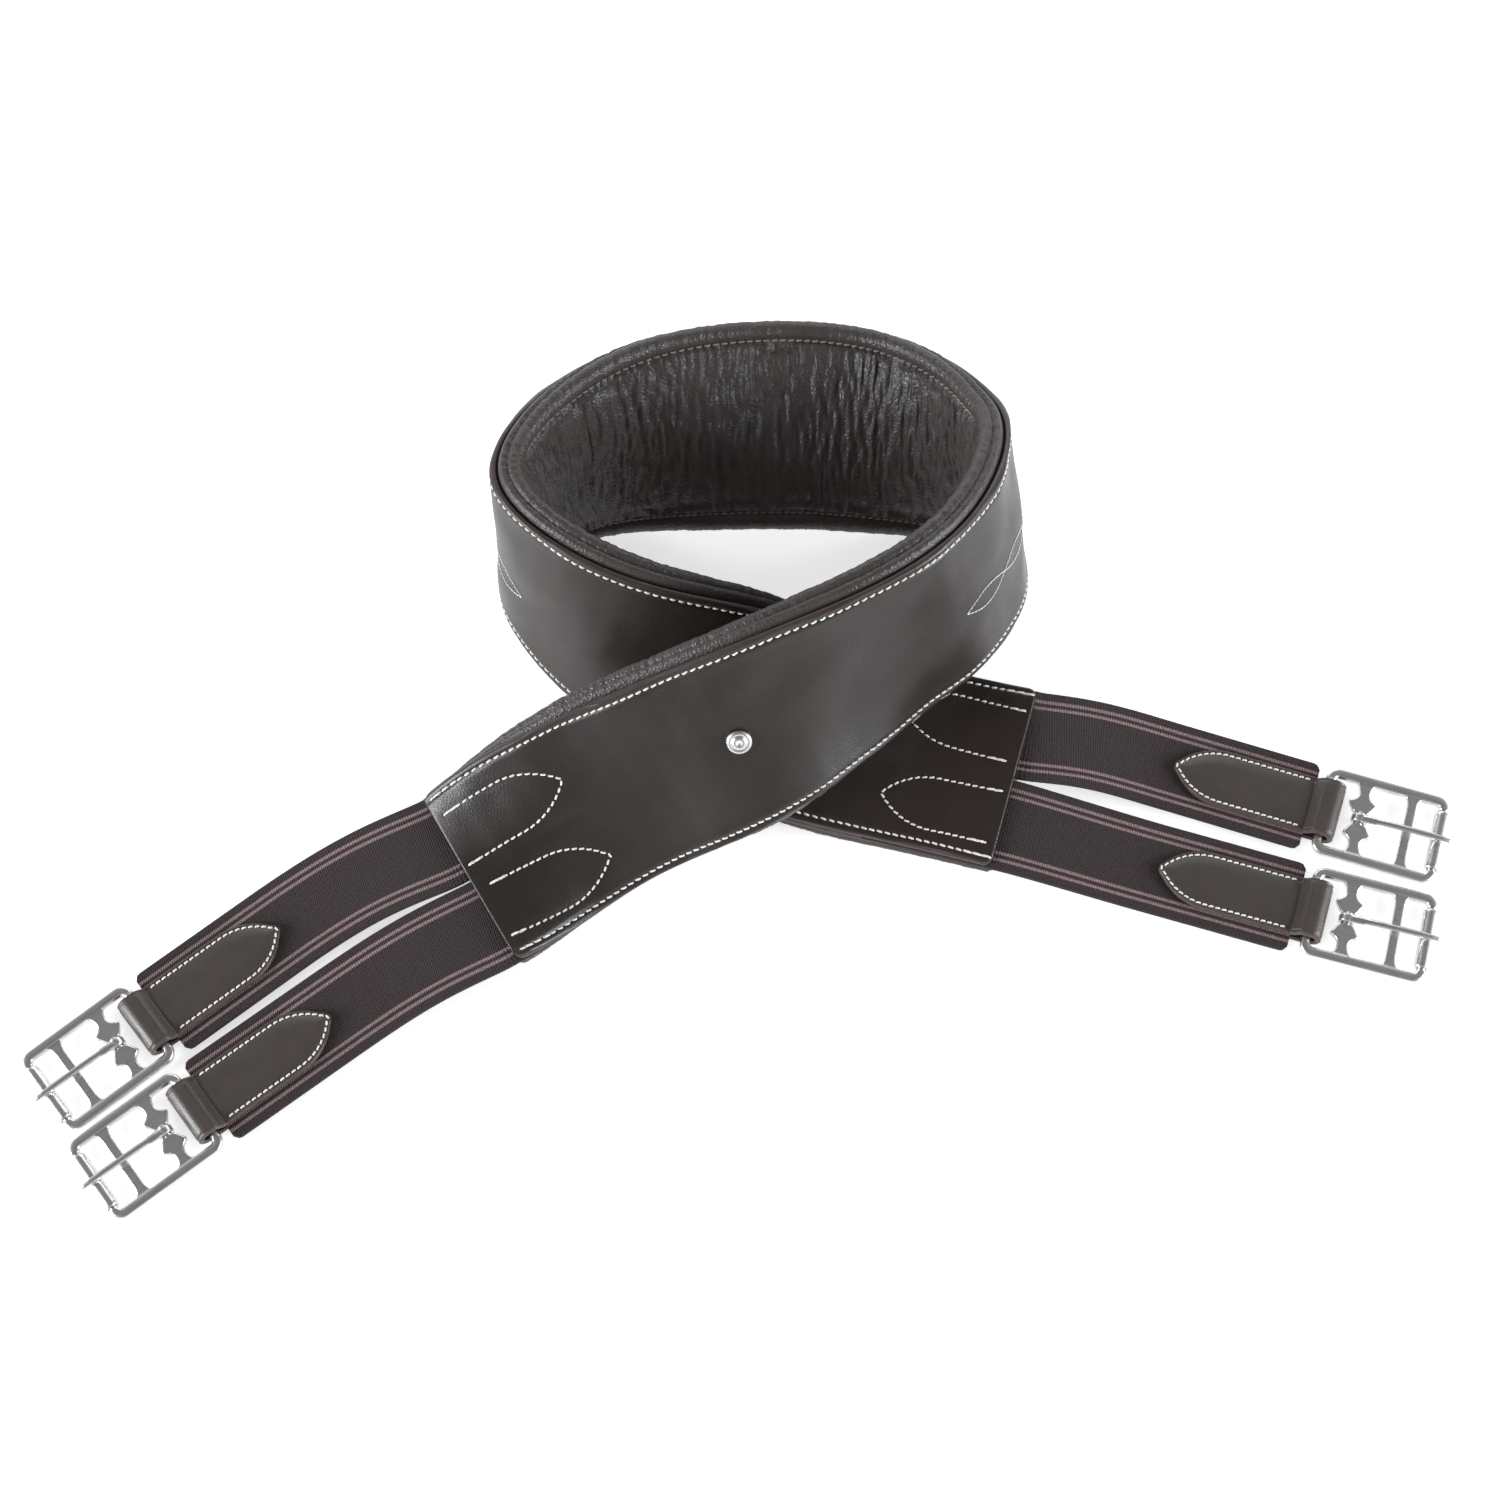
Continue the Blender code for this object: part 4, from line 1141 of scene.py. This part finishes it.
# ---------------------------------------------------------------- buckles


def rail_ring():
    """Closed frame: flat-backed side rails, round rear and front bars."""
    side = FRAME_HALF - 2.25 * MM
    corner = 3.5 * MM
    inner = side - corner
    plan = []
    for way, x, radius in ((1, FRONT_BAR_X, 1.9 * MM), (-1, 0, 2.2 * MM)):
        for y in np.linspace(-inner + 0.3 * MM, inner - 0.3 * MM, 10):
            plan.append((x, way * y, way, 0, radius))
        for half in (0, 1):
            pivot_x = (x, FRONT_BAR_X - x)[half] + way * corner * (-1, 1)[half]
            for k in range(9):
                angle = math.pi / 2 * (half + k / 8)
                out_x, out_y = way * math.cos(angle), way * math.sin(angle)
                plan.append((pivot_x + out_x * corner, way * inner + out_y * corner, out_x, out_y, 0))
    turn = np.linspace(0, 2 * math.pi, 28, endpoint=False)
    out, up = np.cos(turn), np.sin(turn)
    rail_out = 2.25 * MM * np.sign(out) * np.abs(out) ** 0.62
    rail_up = np.where(up > 0, 2.0, 2.2) * MM * np.sign(up) * np.abs(up) ** 0.72
    rings = []
    for x, y, out_x, out_y, radius in plan:
        wide, high = (radius * out, radius * up) if radius else (rail_out, rail_up)
        rings.append(np.stack([x + out_x * wide, y + out_y * wide, high], -1))
    return ring_skin("frame_ring", np.array(rings))


def plate_mesh(outline, low, high, ease):
    """Flat plate of an outline (x, y), its edges rounded over."""
    outline = np.array(outline, float)
    before, after = np.roll(outline, 1, 0), np.roll(outline, -1, 0)
    way = unit(after - before)
    out = np.stack([way[:, 1], -way[:, 0]], -1)
    area = (outline[:, 0] * after[:, 1] - after[:, 0] * outline[:, 1]).sum()
    out = out * np.sign(area)
    levels = [(ease, low), (0.3 * ease, low + 0.3 * ease), (0, low + ease)]
    levels += [(0, high - ease), (0.3 * ease, high - 0.3 * ease), (ease, high)]
    flat = np.full(len(outline), 1.0)
    rings = [np.column_stack([outline - out * inset, flat * z]) for inset, z in levels]
    return skin("plate", np.array(rings))


def bar_outline(middle, points):
    """Outline of a cross bar from half-widths (x, y) of one quarter, flared into the rails."""
    quarter = np.array(points, float) * MM
    right = np.vstack([(quarter * (1, -1))[::-1], quarter])
    left = (right * (-1, 1))[::-1]
    return np.vstack([right, left]) + (middle, 0)


def cusp_outline(side):
    """One arm of the tongue bar: it flares into the rail and swells into a pointed lobe."""
    edge = [(6.2, 18.2), (4.9, 17.0), (3.8, 16.0), (3.1, 14.9), (2.6, 13.6), (2.35, 12.2)]
    edge += [(2.4, 11.2), (2.8, 10.1), (3.6, 9.1), (4.8, 8.3), (5.9, 7.5), (5.6, 6.5)]
    edge += [(4.9, 5.4), (4.3, 4.4), (3.6, 3.3), (2.6, 2.3)]
    right = np.array(edge) * MM
    outline = np.vstack([right, (right * (-1, 1))[::-1]])
    return outline * (1, side) + (CUSP_BAR_X, 0)


def buckle_mesh():
    """Frame, straight bar and the two arms and neck of the tongue bar, in one skin."""
    quarter = [(2.1, 6), (2.1, 12), (2.3, 13.6), (2.7, 14.9), (3.4, 16), (4.5, 17), (5.8, 18.2)]
    plate = bar_outline(STRAIGHT_BAR_X, quarter)
    neck = turned([(0, -2.7 * MM), (1.9 * MM, -2.7 * MM), (1.9 * MM, 2.7 * MM), (0, 2.7 * MM)], 32)
    neck[..., 0] += CUSP_BAR_X
    parts = [rail_ring(), plate_mesh(plate, -1.7 * MM, 1.3 * MM, 0.5 * MM)]
    parts += [plate_mesh(cusp_outline(side), -2.1 * MM, 1.5 * MM, 0.6 * MM) for side in (1, -1)]
    parts.append(ring_skin("neck", neck))
    return remeshed("buckle_frame", parts, 0.3 * MM, 5)


def tongue_mesh():
    """Eye round the neck and a tapered arm that rests on the roller."""
    bore, eye, half = 2.12 * MM, 3.65 * MM, 1.75 * MM
    ease = 0.5 * MM
    profile = [(bore, -half + 0.2 * MM), (bore, half - 0.2 * MM), (bore + 0.2 * MM, half)]
    profile += [(eye - ease, half), (eye, half - ease), (eye, ease - half), (eye - ease, -half)]
    profile += [(bore + 0.2 * MM, -half)]
    loop = ring_skin("eye", turned(profile, 48))
    rest = ROLLER_RADIUS / MM + 0.1
    span = (FRONT_BAR_X - CUSP_BAR_X) / MM
    arm = [
        (1.2, 2.95, 1.55, 0.75),
        (4, 3.15, 1.9, 1.0),
        (6.5, 3.35, 1.85, 1.05),
        (8, 3.5, 1.45, 1.15),
        (12, 3.85, 1.45, 1.25),
        (span * 0.6, 4.3, 1.45, 1.3),
        (span - 4, rest + 1.2, 1.4, 1.2),
        (span + 1.5, rest + 1.1, 1.3, 1.1),
        (span + 4.2, rest + 0.85, 1.15, 0.85),
        (span + 5.4, rest + 0.65, 0.8, 0.6),
        (span + 5.9, rest + 0.55, 0.35, 0.3),
    ]
    turn = np.linspace(0, 2 * math.pi, 20, endpoint=False)
    rings = [
        np.stack([np.full(20, x), wide * np.cos(turn), z + high * np.sin(turn)], -1) * MM
        for x, z, wide, high in arm
    ]
    return remeshed("tongue", [loop, skin("arm", np.array(rings))], 0.2 * MM, 3)


def roller_mesh():
    """Sheet roller with turned-in ends and the butt seam along it."""
    half, steps = 13.3, 56
    profile = [(2.05, 0.5 - half), (2.05, half - 0.5), (2.3, half), (2.85, half), (3.15, half - 0.2)]
    profile += [(3.3, half - 0.7), *((3.3, y) for y in np.linspace(half - 2, 2 - half, 12))]
    profile += [(3.3, 0.7 - half), (3.15, 0.2 - half), (2.85, -half), (2.3, -half)]
    points = turned(np.array(profile) * MM, steps)
    angle = np.arange(steps) * 2 * math.pi / steps - math.radians(250)
    seam = 1 - 0.09 * dip(np.angle(np.exp(1j * angle)), 0.09)[:, None]
    outer = np.array([radius > 3 for radius, _ in profile])
    points[..., ::2] *= np.where(outer, seam, 1)[..., None]
    return ring_skin("roller", points)


def placement(strap, aim, tilt):
    """Place of a piece drawn about the rear bar: aim is its heading in degrees."""
    turn = Matrix.Rotation(math.radians(aim), 4, "Z")
    return Matrix.Translation(bar_place(strap)) @ turn @ Matrix.Rotation(tilt, 4, "Y")


def hardware():
    """Tabs, buckle frames, tongues and rollers of all four straps."""
    shapes = {
        "tab": (tab_mesh(), TAB_LEATHER, "leather", 0, 0),
        "buckle": (buckle_mesh(), STEEL, "steel", 0, LEAN),
        "tongue": (tongue_mesh(), STEEL, "steel", CUSP_BAR_X, LEAN),
        "roller": (roller_mesh(), STEEL, "steel", FRONT_BAR_X, LEAN),
    }
    names = {"tab": "leaf", "buckle": "frame", "tongue": "prong", "roller": "sleeve"}
    thread = tab_stitches()
    for strap in STRAPS:
        for kind, (mesh, look, slot, offset, tilt) in shapes.items():
            node = f"{strap.name}_{kind}"
            aim = strap.heading if kind == "tab" else strap.heading + strap.turn
            place = placement(strap, aim, tilt) @ Matrix.Translation((offset, 0, 0))
            fitted(f"{strap.name}_{names[kind]}", mesh, look, slot, node, node, place=place)
        place = placement(strap, strap.heading, 0)
        sewn, tab = f"{strap.name}_tab_stitching", f"{strap.name}_tab"
        fitted(sewn, thread, THREAD, "leather", tab, place=place)


# ---------------------------------------------------------------- stud


def stud():
    """Pressed stud cap with a rolled rim, a ring groove and a dimpled dome."""
    outline = [(0, 1.75), (0.35, 1.78), (0.8, 2), (1.3, 2.28), (1.9, 2.38), (2.5, 2.26)]
    outline += [(2.95, 1.95), (3.15, 1.62), (3.35, 1.5), (3.6, 1.62), (4, 1.78), (4.5, 1.7)]
    outline += [(5, 1.35), (5.35, 0.85), (5.45, 0.45), (5.25, 0.05), (4.8, -0.15)]
    outline += [(1.6, -0.15), (1.6, -6.9), (0, -6.9)]
    mesh = ring_skin("stud_button", turned(np.array(outline) * MM, 64, axis="Z"))
    centre, forward, across, outward = band_axes(np.array([STUD_S]))
    axes = Matrix((forward[0], across[0], outward[0])).transposed().to_4x4()
    place = Matrix.Translation(centre[0]) @ axes
    fitted("stud_button", mesh, NICKEL, "nickel", "band", "stud_cap", place=place)


# ---------------------------------------------------------------- studio


def floor():
    """Table just under the band, with its own faint glow."""
    size = 3.0
    mesh = bpy.data.meshes.new("floor")
    corners = [(-size, -size, 0), (size, -size, 0), (size, size, 0), (-size, size, 0)]
    mesh.from_pydata(corners, [], [(0, 1, 2, 3)])
    made = piece("floor", mesh, floor_look())
    made.location.z = -0.1 * MM


def softbox(name, place, aim, size, power):
    """Rectangular cool light that faces aim."""
    light = bpy.data.lights.new(name, "AREA")
    light.shape = "RECTANGLE"
    light.size, light.size_y = size
    light.energy = power
    light.color = (0.93, 0.96, 1.0)
    made = bpy.data.objects.new(name, light)
    made.location = place
    made.rotation_euler = (Vector(aim) - Vector(place)).to_track_quat("-Z", "Y").to_euler()
    bpy.context.scene.collection.objects.link(made)


def studio():
    """World darker in front and above than at the sides, with three softboxes."""
    scene = bpy.context.scene
    scene.view_settings.view_transform = "Standard"
    scene.view_settings.look = "None"
    world = bpy.data.worlds.new("soft_studio")
    world.use_nodes = True
    tree = world.node_tree
    places = tree.nodes.new("ShaderNodeTexCoord")
    way = add(tree, "ShaderNodeSeparateXYZ", {"Vector": places.outputs["Generated"]})
    level = spread(tree, way.outputs["Z"], 0, 1, 0, 1)
    sideways = math_node(tree, "ABSOLUTE", way.outputs["X"])
    share = spread(tree, sideways, 0.25, 0.9, 0, 1)
    horizon = blend_colour(tree, share, colour(0.64, 0.64, 0.64), colour(1.4, 1.44, 1.52))
    glow = blend_colour(tree, level, horizon, colour(0.2, 0.195, 0.19))
    background = tree.nodes["Background"]
    tree.links.new(glow, background.inputs["Color"])
    background.inputs["Strength"].default_value = 0.9
    scene.world = world
    softbox("left_box", (-1.4, -0.5, 0.5), (0, 0, 0.03), (0.7, 0.7), 26)
    softbox("right_box", (1.4, -0.4, 0.5), (0, 0, 0.03), (0.7, 0.7), 22)
    softbox("back_box", (0, 1.4, 0.8), (0, 0.05, 0.05), (1.6, 0.6), 9)


def camera():
    """Long lens on the side that the photograph was taken from."""
    made = bpy.data.objects.new("camera", bpy.data.cameras.new("camera"))
    gaze = Vector((0, math.cos(ELEVATION), -math.sin(ELEVATION)))
    made.location = CAMERA_TARGET - gaze * CAMERA_DISTANCE
    made.rotation_euler = gaze.to_track_quat("-Z", "Y").to_euler()
    made.data.sensor_width = 36
    made.data.lens = LENS
    bpy.context.scene.collection.objects.link(made)
    bpy.context.scene.camera = made


camera()
floor()
studio()
outer_cover()
cover_stitching()
ornament()
core_webbing()
padded_lining()
lining_stitching()
for strap in STRAPS:
    elastic(strap)
hardware()
stud()
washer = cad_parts["stud_washer"]
washer.data.materials.clear()
washer.data.materials.append(NICKEL)
